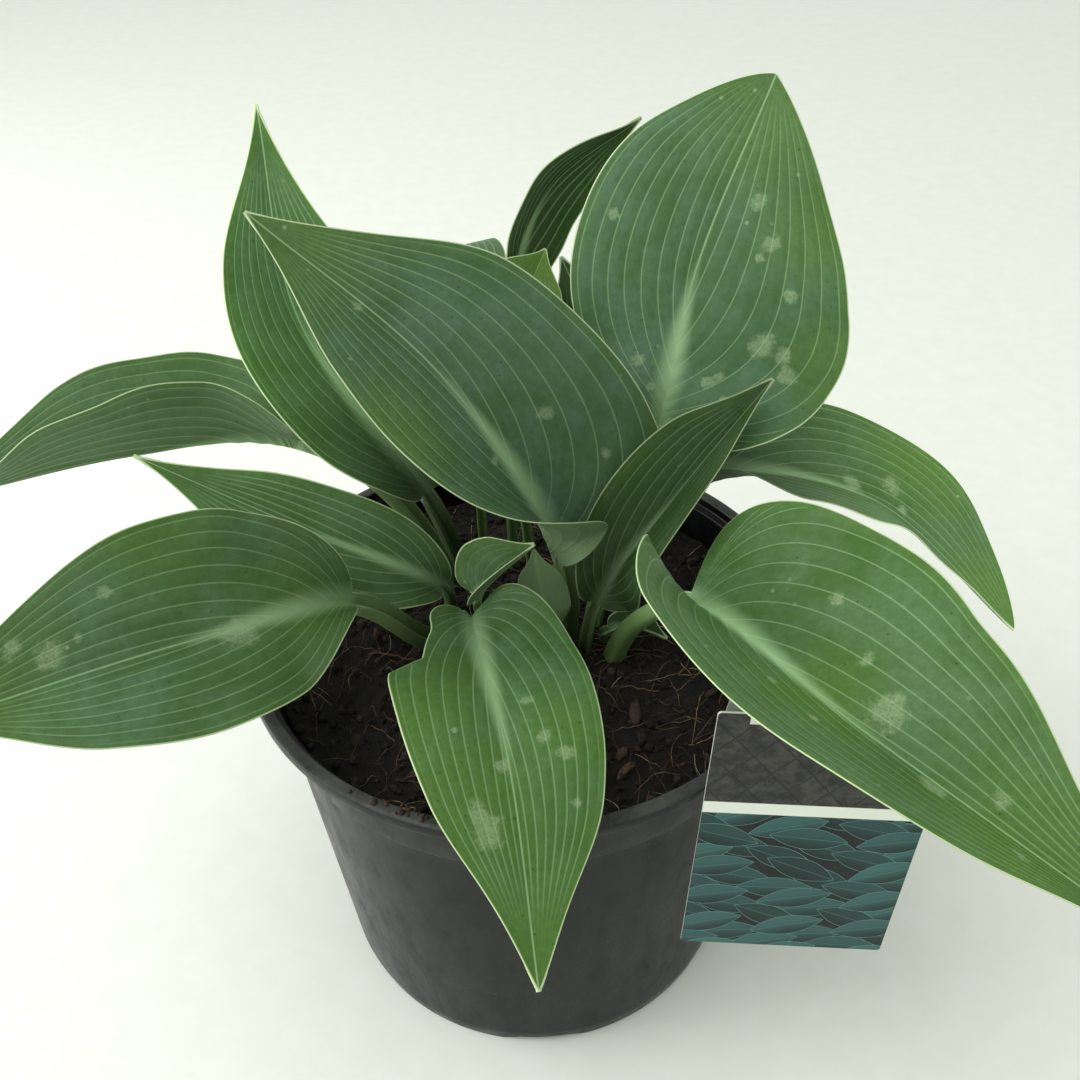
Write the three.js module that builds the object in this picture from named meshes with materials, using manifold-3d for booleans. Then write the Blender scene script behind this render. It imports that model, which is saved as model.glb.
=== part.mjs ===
// A hosta in a plastic nursery pot: the pot, its soil, each leaf with its stalk, and the label card.
// Millimetres, +Z up. The origin is the middle of the pot's underside, and the plant's front faces -Y.
import * as THREE from "three";
import { mergeVertices } from "three/addons/utils/BufferGeometryUtils.js";
import Module from "manifold-3d";

// ---- Driving dimensions ----

const POT_HEIGHT = 151;
const POT_SEGMENTS = 56;
const RIM_RADIUS = 95; // outside of the rolled lip
const RIM_DEPTH = 4.6; // height of the rolled lip
const RIM_WIDTH = 4.4;
const BAND_RADIUS = [87.2, 90]; // outside of the stiffening band, at its lower edge and below the lip
const BAND_DEPTH = 25; // from the pot's top to the band's lower edge
const BAND_STEP = 1.4; // how far the band stands out from the tapered wall
const BASE_RADIUS = 76.5; // outside of the wall where it meets the floor
const WALL = 1.8;
const FOOT_HEIGHT = 6; // top of the floor
const FOOT_RADIUS = 75;
const FOOT_WIDTH = 7;
const FLOOR_THICKNESS = 2;
const PAD_RADIUS = 20; // the flat middle of the floor, level with the foot ring
const PAD_SLOPE = 3;
const FOOT_GAPS = 4; // recesses in the foot ring, the first of them at the front
const FOOT_GAP_WIDTH = [34, 18]; // at the ground and at the top
const FOOT_GAP_HEIGHT = 3.6;
const DRAIN_HOLES = 8;
const DRAIN_RADIUS = 6;
const DRAIN_CIRCLE = 48;

const SOIL_LEVEL = 135;
const SOIL_DOME = 3; // how much higher the soil lies in the middle
const SOIL_LUMP = 1.4;
const SOIL_RINGS = 10;
const SOIL_SEED = 7;
const CLEARANCE = 0.4;
const STALK_SUNK = 14; // how deep a stalk stands in the soil
const HOLE_RADIUS = [1.4, 3.1]; // for the thinnest stalk, and how much more for one of full size
const HOLE_FLARE = 1.8; // how much wider a hole is at the top
const HOLE_SEGMENTS = 14;

const BLADE_THICKNESS = 1;
const EDGE_THICKNESS = 0.8;
const STALK_HALF_WIDTH = 3.1;
const STALK_THICKNESS = 3.4;
const STALK_CHANNEL = 48; // degrees by which each side of a stalk turns up
const TIP_HALF_WIDTH = 0.5;

const CARD = { width: 65, height: 110, thickness: 0.8 };
const CARD_CORNER = [46, -84, 77]; // its lower left corner
const CARD_TURN = 5; // degrees that its right edge is turned to the front
const CARD_LEAN = 2.5; // degrees that it leans to the right
const STRAP_WIDTH = 6;
const STRAP_ACROSS = 12; // from the card's left edge to the middle of the strap
// The strap's path from the card's top over the rim into the soil: [up from the top, back from the card].
const STRAP_PATH = [[-4, 0], [1, 0], [4, 3], [3, 9], [-6, 18], [-20, 27], [-37, 34], [-52, 38], [-65, 39]];
const STRAP_STEPS = 28;

const COLOURS = {
  pot: 0x3a403e,
  soil: 0x1d1713,
  card: 0x3f6b6b,
  blue: 0x4c7d60,
  green: 0x55824f,
  worn: 0x648a4a,
  young: 0x7aa04c,
  shaded: 0x3c6340,
};

const { lerp, clamp, degToRad } = THREE.MathUtils;
const smooth = (x) => x * x * (3 - 2 * x);

const wasm = await Module();
wasm.setup();

// ---- Shells and solids ----

function geometryOf(positions, index) {
  return new THREE.BufferGeometry()
    .setAttribute("position", new THREE.Float32BufferAttribute(positions, 3))
    .setIndex(index);
}

// The closed shell through rings of equally many points, with the first and the last ring filled in.
function tube(rings) {
  const count = rings[0].length;
  const index = [];
  for (let i = 0; i + 1 < rings.length; i++) {
    for (let j = 0; j < count; j++) {
      const next = (j + 1) % count;
      const [a, b, c, d] = [i * count + j, i * count + next, (i + 1) * count + next, (i + 1) * count + j];
      index.push(a, b, c, a, c, d);
    }
  }
  const last = (rings.length - 1) * count;
  for (let j = 1; j + 1 < count; j++) {
    index.push(0, j + 1, j);
    index.push(last, last + j, last + j + 1);
  }
  return geometryOf(rings.flat(2), index);
}

// Vertices in the same place become one, and triangles that this collapses are dropped.
function solid(geometry) {
  const bare = new THREE.BufferGeometry()
    .setAttribute("position", geometry.getAttribute("position"))
    .setIndex(geometry.index);
  const merged = mergeVertices(bare, 1e-4);
  const corners = merged.index.array;
  const kept = [];
  for (let i = 0; i < corners.length; i += 3) {
    const [a, b, c] = corners.slice(i, i + 3);
    if (a !== b && b !== c && c !== a) kept.push(a, b, c);
  }
  return new wasm.Manifold(
    new wasm.Mesh({
      numProp: 3,
      vertProperties: merged.getAttribute("position").array,
      triVerts: new Uint32Array(kept),
    }),
  );
}

function fromSolid(made) {
  const mesh = made.getMesh();
  return geometryOf(Array.from(mesh.vertProperties), Array.from(mesh.triVerts));
}

function seeded(seed) {
  let state = seed;
  return () => {
    state = (state * 16807) % 2147483647;
    return state / 2147483647;
  };
}

// ---- Pot ----

const BAND_BOTTOM = POT_HEIGHT - BAND_DEPTH;
const LIP_BOTTOM = POT_HEIGHT - RIM_DEPTH;
const WALL_TOP_RADIUS = BAND_RADIUS[0] - BAND_STEP;

// Inside of the wall at a height: it widens slowly up to the band, and faster inside the band.
function innerRadius(z) {
  const share = (z - FOOT_HEIGHT) / (BAND_BOTTOM - FOOT_HEIGHT);
  if (share < 1) return lerp(BASE_RADIUS, WALL_TOP_RADIUS, share) - WALL;
  return lerp(WALL_TOP_RADIUS, BAND_RADIUS[1], (z - BAND_BOTTOM) / (LIP_BOTTOM - BAND_BOTTOM)) - WALL;
}

// [radius, height] round the pot's section: out along the underside, up, over the lip, and down the inside.
function potProfile() {
  const lipInside = RIM_RADIUS - RIM_WIDTH;
  const floorBottom = FOOT_HEIGHT - FLOOR_THICKNESS;
  return [
    [0, 0],
    [PAD_RADIUS, 0],
    [PAD_RADIUS + PAD_SLOPE, floorBottom],
    [FOOT_RADIUS - FOOT_WIDTH - 1, floorBottom],
    [FOOT_RADIUS - FOOT_WIDTH, 0],
    [FOOT_RADIUS, 0],
    [BASE_RADIUS - 0.5, floorBottom],
    [BASE_RADIUS, FOOT_HEIGHT],
    [WALL_TOP_RADIUS, BAND_BOTTOM - 0.8],
    [BAND_RADIUS[0], BAND_BOTTOM],
    [BAND_RADIUS[1], LIP_BOTTOM],
    [RIM_RADIUS - 0.6, LIP_BOTTOM],
    [RIM_RADIUS, LIP_BOTTOM + 0.8],
    [RIM_RADIUS, POT_HEIGHT - 1.4],
    [RIM_RADIUS - 0.7, POT_HEIGHT - 0.3],
    [RIM_RADIUS - 1.8, POT_HEIGHT],
    [lipInside + 0.8, POT_HEIGHT],
    [lipInside, POT_HEIGHT - 1],
    [innerRadius(LIP_BOTTOM), LIP_BOTTOM],
    [innerRadius(BAND_BOTTOM), BAND_BOTTOM],
    [innerRadius(FOOT_HEIGHT), FOOT_HEIGHT],
    [PAD_RADIUS + PAD_SLOPE - 1, FOOT_HEIGHT],
    [PAD_RADIUS - 1, FLOOR_THICKNESS],
    [0, FLOOR_THICKNESS],
  ];
}

// A trapezoid that runs outwards through the foot ring.
function footGap() {
  const [low, high] = FOOT_GAP_WIDTH.map((width) => width / 2);
  const spread = low + (low - high) / FOOT_GAP_HEIGHT;
  const section = [[-spread, -1], [spread, -1], [high, FOOT_GAP_HEIGHT], [-high, FOOT_GAP_HEIGHT]];
  const inner = -FOOT_RADIUS + 2 * FOOT_WIDTH;
  const outer = -FOOT_RADIUS - FOOT_WIDTH;
  return solid(tube([inner, outer].map((y) => section.map(([x, z]) => [x, y, z]))));
}

function drainHole() {
  const hole = new THREE.CylinderGeometry(DRAIN_RADIUS, DRAIN_RADIUS, FLOOR_THICKNESS * 2, 20);
  hole.rotateX(Math.PI / 2).translate(0, -DRAIN_CIRCLE, FOOT_HEIGHT - FLOOR_THICKNESS / 2);
  return solid(hole);
}

function ringOf(made, count) {
  return Array.from({ length: count }, (_, i) => made.rotate([0, 0, (i * 360) / count]));
}

function potGeometry() {
  const section = potProfile().map(([r, z]) => new THREE.Vector2(r, z));
  const turned = new THREE.LatheGeometry(section, POT_SEGMENTS).rotateX(Math.PI / 2);
  const cuts = [...ringOf(footGap(), FOOT_GAPS), ...ringOf(drainHole(), DRAIN_HOLES)];
  return fromSolid(cuts.reduce((body, cut) => body.subtract(cut), solid(turned)));
}

// ---- Soil ----

// A lumpy height between about -1 and 1 at every x, y: waves in many directions added up.
function lumps() {
  const random = seeded(SOIL_SEED);
  const waves = Array.from({ length: 16 }, () => {
    const angle = random() * 2 * Math.PI;
    const pitch = lerp(2.2, 7, random());
    return [Math.cos(angle) / pitch, Math.sin(angle) / pitch, random() * 2 * Math.PI];
  });
  return (x, y) => waves.reduce((sum, [a, b, shift]) => sum + Math.sin(a * x + b * y + shift), 0) / 5;
}

function soilRing(share, lump) {
  const radius = share * (innerRadius(SOIL_LEVEL) - CLEARANCE);
  return Array.from({ length: POT_SEGMENTS }, (_, i) => {
    const angle = (i / POT_SEGMENTS) * 2 * Math.PI;
    const [x, y] = [radius * Math.cos(angle), radius * Math.sin(angle)];
    return [x, y, SOIL_LEVEL + SOIL_DOME * (1 - share ** 2) + SOIL_LUMP * (1 - share ** 6) * lump(x, y)];
  });
}

function soilGeometry(holes) {
  const lump = lumps();
  const edge = soilRing(1, lump);
  const sides = [FOOT_HEIGHT + CLEARANCE, BAND_BOTTOM].map((z) => {
    const scale = (innerRadius(z) - CLEARANCE) / (innerRadius(SOIL_LEVEL) - CLEARANCE);
    return edge.map(([x, y]) => [x * scale, y * scale, z]);
  });
  const top = Array.from({ length: SOIL_RINGS }, (_, i) => soilRing(1 - i / SOIL_RINGS, lump));
  const body = solid(tube([...sides, ...top]));
  return fromSolid(holes.reduce((soil, hole) => soil.subtract(hole), body));
}

// ---- Label ----

// The strap's section is a thin rectangle, square to its path, that grows by swell on every side.
function strap(swell) {
  const curve = new THREE.CatmullRomCurve3(
    STRAP_PATH.map(([up, back]) => new THREE.Vector3(STRAP_ACROSS, back, CARD.height + up)),
  );
  const rings = Array.from({ length: STRAP_STEPS + 1 }, (_, i) => {
    const { x, y, z } = curve.getPoint(i / STRAP_STEPS);
    const ahead = curve.getTangent(i / STRAP_STEPS);
    const across = STRAP_WIDTH / 2 + swell;
    const out = CARD.thickness / 2 + swell;
    return [[-1, -1], [1, -1], [1, 1], [-1, 1]].map(([side, face]) => [
      x + side * across,
      y + face * out * ahead.z,
      z - face * out * ahead.y,
    ]);
  });
  return solid(tube(rings));
}

function placeLabel(geometry) {
  return geometry
    .rotateY(degToRad(CARD_LEAN))
    .rotateZ(degToRad(-CARD_TURN))
    .translate(...CARD_CORNER);
}

function labelGeometry() {
  const { width, height, thickness } = CARD;
  const card = new THREE.BoxGeometry(width, thickness, height).translate(width / 2, 0, height / 2);
  return placeLabel(fromSolid(solid(card).add(strap(0))));
}

// ---- Leaves ----
//
// Outlines of a half blade. widest: the place of its full width, from base 0 to tip 1.
// full: how slowly the width grows from the base. taper: how early it narrows to the tip.
// point: the share of the width that the drawn-out point lacks.
const HEART = { widest: 0.27, full: 0.43, taper: 1.05, point: 0.3 };
const EGG = { widest: 0.27, full: 1.1, taper: 1.05, point: 0.32 };
const TEARDROP = { widest: 0.27, full: 0.75, taper: 1.05, point: 0.3 };
const ROUND = { widest: 0.35, full: 0.5, taper: 0.93, point: 0.28 };
const FULL_ROUND = { widest: 0.35, full: 0.5, taper: 0.93, point: 0.08 };
const BROAD = { widest: 0.45, full: 0.75, taper: 0.95, point: 0.3 };
const FULL_BROAD = { widest: 0.45, full: 0.75, taper: 0.95, point: 0.1 };
const OVAL = { widest: 0.42, full: 0.62, taper: 1.1, point: 0.3 };
const SHOULDERED = { widest: 0.55, full: 0.78, taper: 0.72, point: 0.12 };
const LANCE = { widest: 0.38, full: 0.65, taper: 1.3, point: 0.28 };
const POINT_SPAN = [0.4, 0.9]; // where the point is drawn out, from the widest place 0 to the tip 1

// root: where the stalk leaves the soil. knee, base: the middle and the end of the stalk.
// belly, tip: the middle and the end of the midrib. faces: where the upper side looks at the base.
// twist: degrees that the blade turns about its midrib from base to tip.
// The other values are pairs, [left, right], seen from above with the tip ahead. half: half widths.
// fold: degrees that a half rises from the midrib. bend: degrees more by the time it reaches the margin.
// lobes: how far the basal lobes reach back. hood: degrees that the lobes curl up.
// ripple: height of the waves along both margins.
const LEAVES = [
  {
    name: "leaf_tall_right", color: "blue",
    root: [24, 5], knee: [34, 14, 174], base: [47, 24, 208], belly: [61, 48, 252], tip: [89, 84, 300],
    faces: [-0.1, -0.81, 0.57], twist: 0, outline: [SHOULDERED, FULL_ROUND],
    half: [40, 52], fold: [6, 8], bend: [-8, -14], lobes: [0, 6], hood: [0, 0], ripple: 0.8,
  },
  {
    name: "leaf_central", color: "blue",
    root: [14, -2], knee: [15, -4, 155], base: [13, -4, 178], belly: [-22, 10, 239], tip: [-77, 36, 282],
    faces: [0.4, -0.68, 0.61], twist: 0, outline: [OVAL, HEART],
    half: [34, 45], fold: [26, 22], bend: [0, -4], lobes: [2, 12], hood: [150, 0], ripple: 0.8,
  },
  {
    name: "leaf_tall_left", color: "green",
    root: [-16, 19], knee: [-23, 18, 164], base: [-31, 16, 191], belly: [-68, 42, 243], tip: [-75, 70, 302],
    faces: [0.4, -0.75, 0.53], twist: 0, outline: [OVAL, LANCE],
    half: [26, 27], fold: [26, 20], bend: [0, 0], lobes: [2, 2], hood: [0, 0], ripple: 0.6,
  },
  {
    name: "leaf_far_left", color: "green",
    root: [-26, 30], knee: [-46, 40, 174], base: [-77, 50, 191], belly: [-135, 44, 192], tip: [-204, 35, 183],
    faces: [0, 0, 1], twist: -20, outline: [LANCE, OVAL],
    half: [36, 36], fold: [76, 25], bend: [0, 0], lobes: [3, 3], hood: [0, 0], ripple: 0.8,
  },
  {
    name: "leaf_folded", color: "green",
    root: [20, -11], knee: [20, -16, 149], base: [24, -13, 164], belly: [50, -5, 201], tip: [80, 10, 232],
    faces: [-0.24, -0.84, 0.48], twist: 0, outline: [BROAD, OVAL],
    half: [19, 20], fold: [12, 74], bend: [0, 0], lobes: [3, 0], hood: [15, -60], ripple: 0.5,
  },
  {
    name: "leaf_lance_left", color: "green",
    root: [-25, 8], knee: [-25, 1, 152], base: [-27, -5, 167], belly: [-71, 2, 189], tip: [-122, 14, 212],
    faces: [0.1, -0.6, 0.78], twist: 0, outline: [LANCE, LANCE],
    half: [18, 16], fold: [14, 14], bend: [0, 0], lobes: [1, 1], hood: [0, 0], ripple: 0.8,
  },
  {
    name: "leaf_low_left", color: "worn",
    root: [-23, -2], knee: [-34, -19, 158], base: [-53, -30, 184],
    belly: [-99, -52, 191], tip: [-168, -74, 185],
    faces: [0.13, -0.33, 0.93], twist: 0, outline: [BROAD, FULL_BROAD],
    half: [31, 38], fold: [14, 14], bend: [-6, -6], lobes: [0, 0], hood: [0, 0], ripple: 0.8,
  },
  {
    name: "leaf_front", color: "worn",
    root: [-14, -7], knee: [-16, -12, 155], base: [-17, -22, 168],
    belly: [-6, -90, 175], tip: [-1, -134, 137],
    faces: [0, -0.2, 1], twist: 0, outline: [ROUND, EGG],
    half: [27, 27], fold: [10, 10], bend: [-8, -8], lobes: [1, 3], hood: [0, -30], ripple: 0.6,
  },
  {
    name: "leaf_low_right", color: "green",
    root: [30, -12], knee: [37, -22, 164], base: [50, -34, 181],
    belly: [86, -104, 196], tip: [146, -160, 178],
    faces: [0.15, -0.1, 1], twist: 0, outline: [HEART, TEARDROP],
    half: [46, 43], fold: [32, 32], bend: [-6, 0], lobes: [3, 8], hood: [0, 45], ripple: 0.8,
  },
  {
    name: "leaf_arching_right", color: "green",
    root: [33, 3], knee: [44, 19, 158], base: [64, 35, 177], belly: [128, 38, 162], tip: [178, 5, 124],
    faces: [0, 0, 1], twist: 0, outline: [SHOULDERED, OVAL],
    half: [41, 34], fold: [17, 18], bend: [0, 0], lobes: [3, 3], hood: [0, 0], ripple: 0.8,
  },
  {
    name: "leaf_upper_back", color: "shaded",
    root: [-3, 38], knee: [-3, 50, 190], base: [0, 60, 237], belly: [15, 78, 267], tip: [47, 92, 285],
    faces: [0.5, -0.86, 0.08], twist: 0, outline: [OVAL, OVAL],
    half: [11, 13], fold: [30, 20], bend: [0, 0], lobes: [2, 2], hood: [0, 0], ripple: 0.5,
  },
  {
    name: "leaf_rear_drooping", color: "blue",
    root: [-14, 40], knee: [-14, 52, 190], base: [-15, 64, 228], belly: [-16, 98, 238], tip: [-32, 150, 205],
    faces: [0, 0, 1], twist: 0, outline: [OVAL, OVAL],
    half: [17, 14], fold: [10, 10], bend: [-10, -10], lobes: [2, 2], hood: [0, 0], ripple: 0.6,
  },
  {
    name: "leaf_young_pale", color: "young",
    root: [4, 28], knee: [1, 34, 175], base: [-4, 42, 218], belly: [5, 53, 240], tip: [13, 66, 252],
    faces: [0.21, -0.67, 0.71], twist: 0, outline: [OVAL, OVAL],
    half: [17, 13], fold: [20, 20], bend: [0, 0], lobes: [1, 1], hood: [0, 0], ripple: 0,
  },
  {
    name: "leaf_back_shaded", color: "shaded",
    root: [19, 25], knee: [28, 28, 165], base: [42, 30, 194], belly: [30, 46, 224], tip: [18, 66, 249],
    faces: [0, -0.88, 0.48], twist: 0, outline: [OVAL, OVAL],
    half: [18, 18], fold: [12, 12], bend: [0, 0], lobes: [1, 1], hood: [0, 0], ripple: 0,
  },
  {
    name: "leaf_small_cup", color: "green",
    root: [-14, 3], knee: [-15, -6, 154], base: [-15, -12, 168], belly: [-8, -12, 177], tip: [4, -12, 189],
    faces: [-0.1, -0.3, 1], twist: 0, outline: [OVAL, OVAL],
    half: [14, 9], fold: [42, 52], bend: [0, 0], lobes: [2, 2], hood: [0, 0], ripple: 0,
  },
  {
    name: "leaf_small_sheath", color: "shaded",
    root: [9, -15], knee: [9, -14, 142], base: [9, -12, 150], belly: [6, -11, 168], tip: [4, -10, 185],
    faces: [0, 0.95, 0.3], twist: 0, outline: [OVAL, OVAL],
    half: [8, 8], fold: [12, 12], bend: [10, 10], lobes: [0, 0], hood: [0, 0], ripple: 0,
  },
  {
    name: "leaf_small_low", color: "shaded",
    root: [27, -4], knee: [27, -5, 142], base: [29, -6, 144], belly: [38, -8, 147], tip: [48, -13, 146],
    faces: [-0.1, -0.3, 1], twist: 0, outline: [OVAL, OVAL],
    half: [6, 5], fold: [12, 60], bend: [0, 0], lobes: [0, 0], hood: [0, 0], ripple: 0,
  },
];

const STALK_ROWS = [0, 0.17, 0.34, 0.5, 0.66, 0.82, 0.94];
const BLADE_ROWS = [0, 0.015, 0.04, 0.08, 0.13, 0.2, 0.28, 0.37, 0.47, 0.58, 0.69, 0.79, 0.88, 0.95, 1];
const ACROSS = [-1, -0.6, -0.22, 0, 0.22, 0.6, 1];
const ROWS = [...STALK_ROWS.map((p) => p - 1), ...BLADE_ROWS];
const MIDRIB = 3; // the column of ACROSS that lies on the midrib
const MARCH_STEPS = 40;
const BASE_AT = 0.6; // the base is the fourth of the six points that a leaf's path runs through
const LOBE_AT = 0.08; // where the basal lobes reach back furthest
const OPEN_AT = 0.25; // where the blade has opened from the stalk's channel
const RIPPLE_PITCH = 21;

function leafPath(leaf) {
  const [x, y] = leaf.root;
  const points = [
    [x, y, SOIL_LEVEL - STALK_SUNK],
    [x, y, SOIL_LEVEL + 2],
    leaf.knee,
    leaf.base,
    leaf.belly,
    leaf.tip,
  ].map((p) => new THREE.Vector3(...p));
  return new THREE.CatmullRomCurve3(points, false, "centripetal");
}

// The path's place, direction, upper side and right side at t. The upper side is carried along from the base
// with no turn of its own, so a stalk or a drooping tip never flips over.
function frameAt(leaf, path, t) {
  const up = new THREE.Vector3(...leaf.faces);
  const ahead = new THREE.Vector3();
  for (let i = 0; i <= MARCH_STEPS; i++) {
    path.getTangent(lerp(BASE_AT, t, i / MARCH_STEPS), ahead);
    up.addScaledVector(ahead, -up.dot(ahead)).normalize();
  }
  const along = Math.max(0, (t - BASE_AT) / (1 - BASE_AT));
  up.applyAxisAngle(ahead, degToRad(leaf.twist * along));
  const right = new THREE.Vector3().crossVectors(ahead, up);
  return { place: path.getPoint(t), ahead, up, right };
}

// Half width of the outline as a share of its widest: a blunt round base and a drawn-out tip.
function outlineAt({ widest, full, taper, point }, s) {
  if (s < widest) return (1 - (1 - s / widest) ** 2) ** full;
  const past = (s - widest) / (1 - widest);
  const drawn = smooth(clamp((past - POINT_SPAN[0]) / (POINT_SPAN[1] - POINT_SPAN[0]), 0, 1));
  return (1 - past ** 2) ** taper * (1 - point * drawn);
}

// Angles and lengths of one half of a leaf at s.
function halfAt(leaf, s, side) {
  const blade = Math.max(0, s);
  const stalk = lerp(STALK_HALF_WIDTH, TIP_HALF_WIDTH, blade) * leafScale(leaf);
  const shown = s > 0 ? leaf.half[side] * outlineAt(leaf.outline[side], s) : 0;
  const half = Math.max(stalk, stalk * (1 - blade) + shown);
  const lobe = (blade / LOBE_AT) * Math.exp(1 - blade / LOBE_AT);
  const open = smooth(clamp(blade / OPEN_AT, 0, 1));
  const curled = Math.min(1, half / leaf.half[side] / 0.6);
  return {
    half,
    fold: degToRad(lerp(STALK_CHANNEL, leaf.fold[side], open)),
    bend: degToRad(leaf.bend[side] * open + leaf.hood[side] * lobe) * curled,
    lobe: leaf.lobes[side] * lobe,
    ripple: leaf.ripple * Math.sin(s * RIPPLE_PITCH + side * 2) * smooth(4 * blade * (1 - blade)),
  };
}

// A point of the leaf's upper face. s runs from -1 at the stalk's foot through 0 at the blade's base to 1
// at the tip, and v from -1 at the left margin to 1 at the right.
function surfacePoint(leaf, frame, s, v) {
  const { half, fold, bend, lobe, ripple } = halfAt(leaf, s, v < 0 ? 0 : 1);
  const reach = Math.abs(v);
  const angle = fold + (bend * reach) / 2;
  return frame.place
    .clone()
    .addScaledVector(frame.right, Math.sign(v) * half * reach * Math.cos(angle))
    .addScaledVector(frame.up, half * reach * Math.sin(angle) + ripple * reach ** 3)
    .addScaledVector(frame.ahead, -lobe * reach ** 2);
}

const leafScale = (leaf) => clamp((leaf.half[0] + leaf.half[1]) / 56, 0.55, 1.1);

function upperFace(leaf) {
  const path = leafPath(leaf);
  return ROWS.map((s) => {
    const t = s < 0 ? BASE_AT * (1 + s) : lerp(BASE_AT, 1, s);
    const frame = frameAt(leaf, path, t);
    return ACROSS.map((v) => surfacePoint(leaf, frame, s, v));
  });
}

// How far below the upper face the lower one lies: thick in the stalk and the midrib, thin in the blade.
function depthAt(leaf, s, v, fromMidrib) {
  const scale = leafScale(leaf);
  const near = Math.max(0, 1 - (fromMidrib / (STALK_HALF_WIDTH * scale)) ** 2);
  const rib = lerp(STALK_THICKNESS * scale, BLADE_THICKNESS, smooth(clamp(s * 2 + 0.2, 0, 1)));
  return lerp(lerp(BLADE_THICKNESS, EDGE_THICKNESS, Math.abs(v)), rib, near);
}

// The upper and the lower face, as one list of points.
function facePoints(leaf) {
  const grid = upperFace(leaf);
  const at = (i, j) => grid[clamp(i, 0, ROWS.length - 1)][clamp(j, 0, ACROSS.length - 1)];
  const upper = [];
  const lower = [];
  ROWS.forEach((s, i) => {
    ACROSS.forEach((v, j) => {
      const point = at(i, j);
      const along = at(i + 1, j).clone().sub(at(i - 1, j));
      const normal = at(i, j + 1).clone().sub(at(i, j - 1)).cross(along).normalize();
      const depth = depthAt(leaf, s, v, point.distanceTo(at(i, MIDRIB)));
      upper.push(point);
      lower.push(point.clone().addScaledVector(normal, -depth));
    });
  });
  return [...upper, ...lower].flatMap((point) => point.toArray());
}

// The corners of a cell between two rows and two columns. Cells are split from their first corner to their
// third, which lies towards the midrib and the tip, so that a lobe that reaches back doesn't fold over.
function cellCorners(id, i, j) {
  const corners = [id(i, j), id(i, j + 1), id(i + 1, j + 1), id(i + 1, j)];
  return j < MIDRIB ? corners : [...corners.slice(1), corners[0]];
}

// Triangles of the shell. Both faces are split along the same diagonals, so they never cross.
function shellIndex() {
  const [rowCount, count] = [ROWS.length, ACROSS.length];
  const index = [];
  const upper = (i, j) => i * count + j;
  const lower = (i, j) => (rowCount + i) * count + j;
  const quad = (a, b, c, d) => index.push(a, b, c, a, c, d);
  for (let i = 0; i + 1 < rowCount; i++) {
    for (let j = 0; j + 1 < count; j++) {
      quad(...cellCorners(upper, i, j));
      const [a, b, c, d] = cellCorners(lower, i, j);
      quad(a, d, c, b);
    }
    quad(upper(i, 0), upper(i + 1, 0), lower(i + 1, 0), lower(i, 0));
    quad(upper(i, count - 1), lower(i, count - 1), lower(i + 1, count - 1), upper(i + 1, count - 1));
  }
  const last = rowCount - 1;
  for (let j = 0; j + 1 < count; j++) {
    quad(upper(0, j), lower(0, j), lower(0, j + 1), upper(0, j + 1));
    quad(upper(last, j), upper(last, j + 1), lower(last, j + 1), lower(last, j));
  }
  return index;
}

const leafGeometry = (leaf) => geometryOf(facePoints(leaf), shellIndex());

// A round hole in the soil for a leaf's stalk, wider at the top because the stalk starts to lean there.
function stalkHole(leaf) {
  const radius = HOLE_RADIUS[0] + HOLE_RADIUS[1] * leafScale(leaf);
  const height = STALK_SUNK + CLEARANCE + SOIL_DOME + 3 * SOIL_LUMP;
  const hole = new THREE.CylinderGeometry(radius + HOLE_FLARE, radius, height, HOLE_SEGMENTS);
  const [x, y] = leaf.root;
  hole.rotateX(Math.PI / 2).translate(x, y, SOIL_LEVEL - STALK_SUNK - CLEARANCE + height / 2);
  return solid(hole);
}

// ---- The plant in its pot ----

const plant = new THREE.Group();

function addPiece(name, geometry, color, roughness) {
  const mesh = new THREE.Mesh(geometry, new THREE.MeshStandardMaterial({ color, roughness }));
  mesh.name = name;
  plant.add(mesh);
}

const strapHole = solid(placeLabel(fromSolid(strap(CLEARANCE)))).translate([0, 0, -CLEARANCE]);
addPiece("pot", potGeometry(), COLOURS.pot, 0.45);
addPiece("soil", soilGeometry([...LEAVES.map(stalkHole), strapHole]), COLOURS.soil, 0.95);
LEAVES.forEach((leaf) => addPiece(leaf.name, leafGeometry(leaf), COLOURS[leaf.color], 0.5));
addPiece("plant_label", labelGeometry(), COLOURS.card, 0.4);

export default plant;
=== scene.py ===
"""The looks of a hosta in a plastic nursery pot: leaves, soil, pot and label, with floor, lights and camera.

Shapes are worked out in millimetres and turned into metres as each mesh is made. The origin is the middle
of the pot's underside, +Z is up and the plant's front faces -Y.
"""
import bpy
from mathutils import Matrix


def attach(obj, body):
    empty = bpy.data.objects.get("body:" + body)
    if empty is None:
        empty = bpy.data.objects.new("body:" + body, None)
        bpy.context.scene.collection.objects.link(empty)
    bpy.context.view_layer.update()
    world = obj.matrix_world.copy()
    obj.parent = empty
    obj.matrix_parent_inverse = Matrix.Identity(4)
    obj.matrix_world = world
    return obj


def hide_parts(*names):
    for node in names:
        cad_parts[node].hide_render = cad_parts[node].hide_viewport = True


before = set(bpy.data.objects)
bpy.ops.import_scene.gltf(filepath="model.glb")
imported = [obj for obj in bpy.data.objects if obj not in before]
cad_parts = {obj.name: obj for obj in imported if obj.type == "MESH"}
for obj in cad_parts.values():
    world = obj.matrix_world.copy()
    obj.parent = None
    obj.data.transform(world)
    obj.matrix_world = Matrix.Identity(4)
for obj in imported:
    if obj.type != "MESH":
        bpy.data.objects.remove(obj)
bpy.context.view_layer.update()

from types import SimpleNamespace

import bmesh
import bpy
import numpy as np
from mathutils import Matrix, Vector, noise

MM = 0.001

# ---- Pot, as in the frame ----

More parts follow.
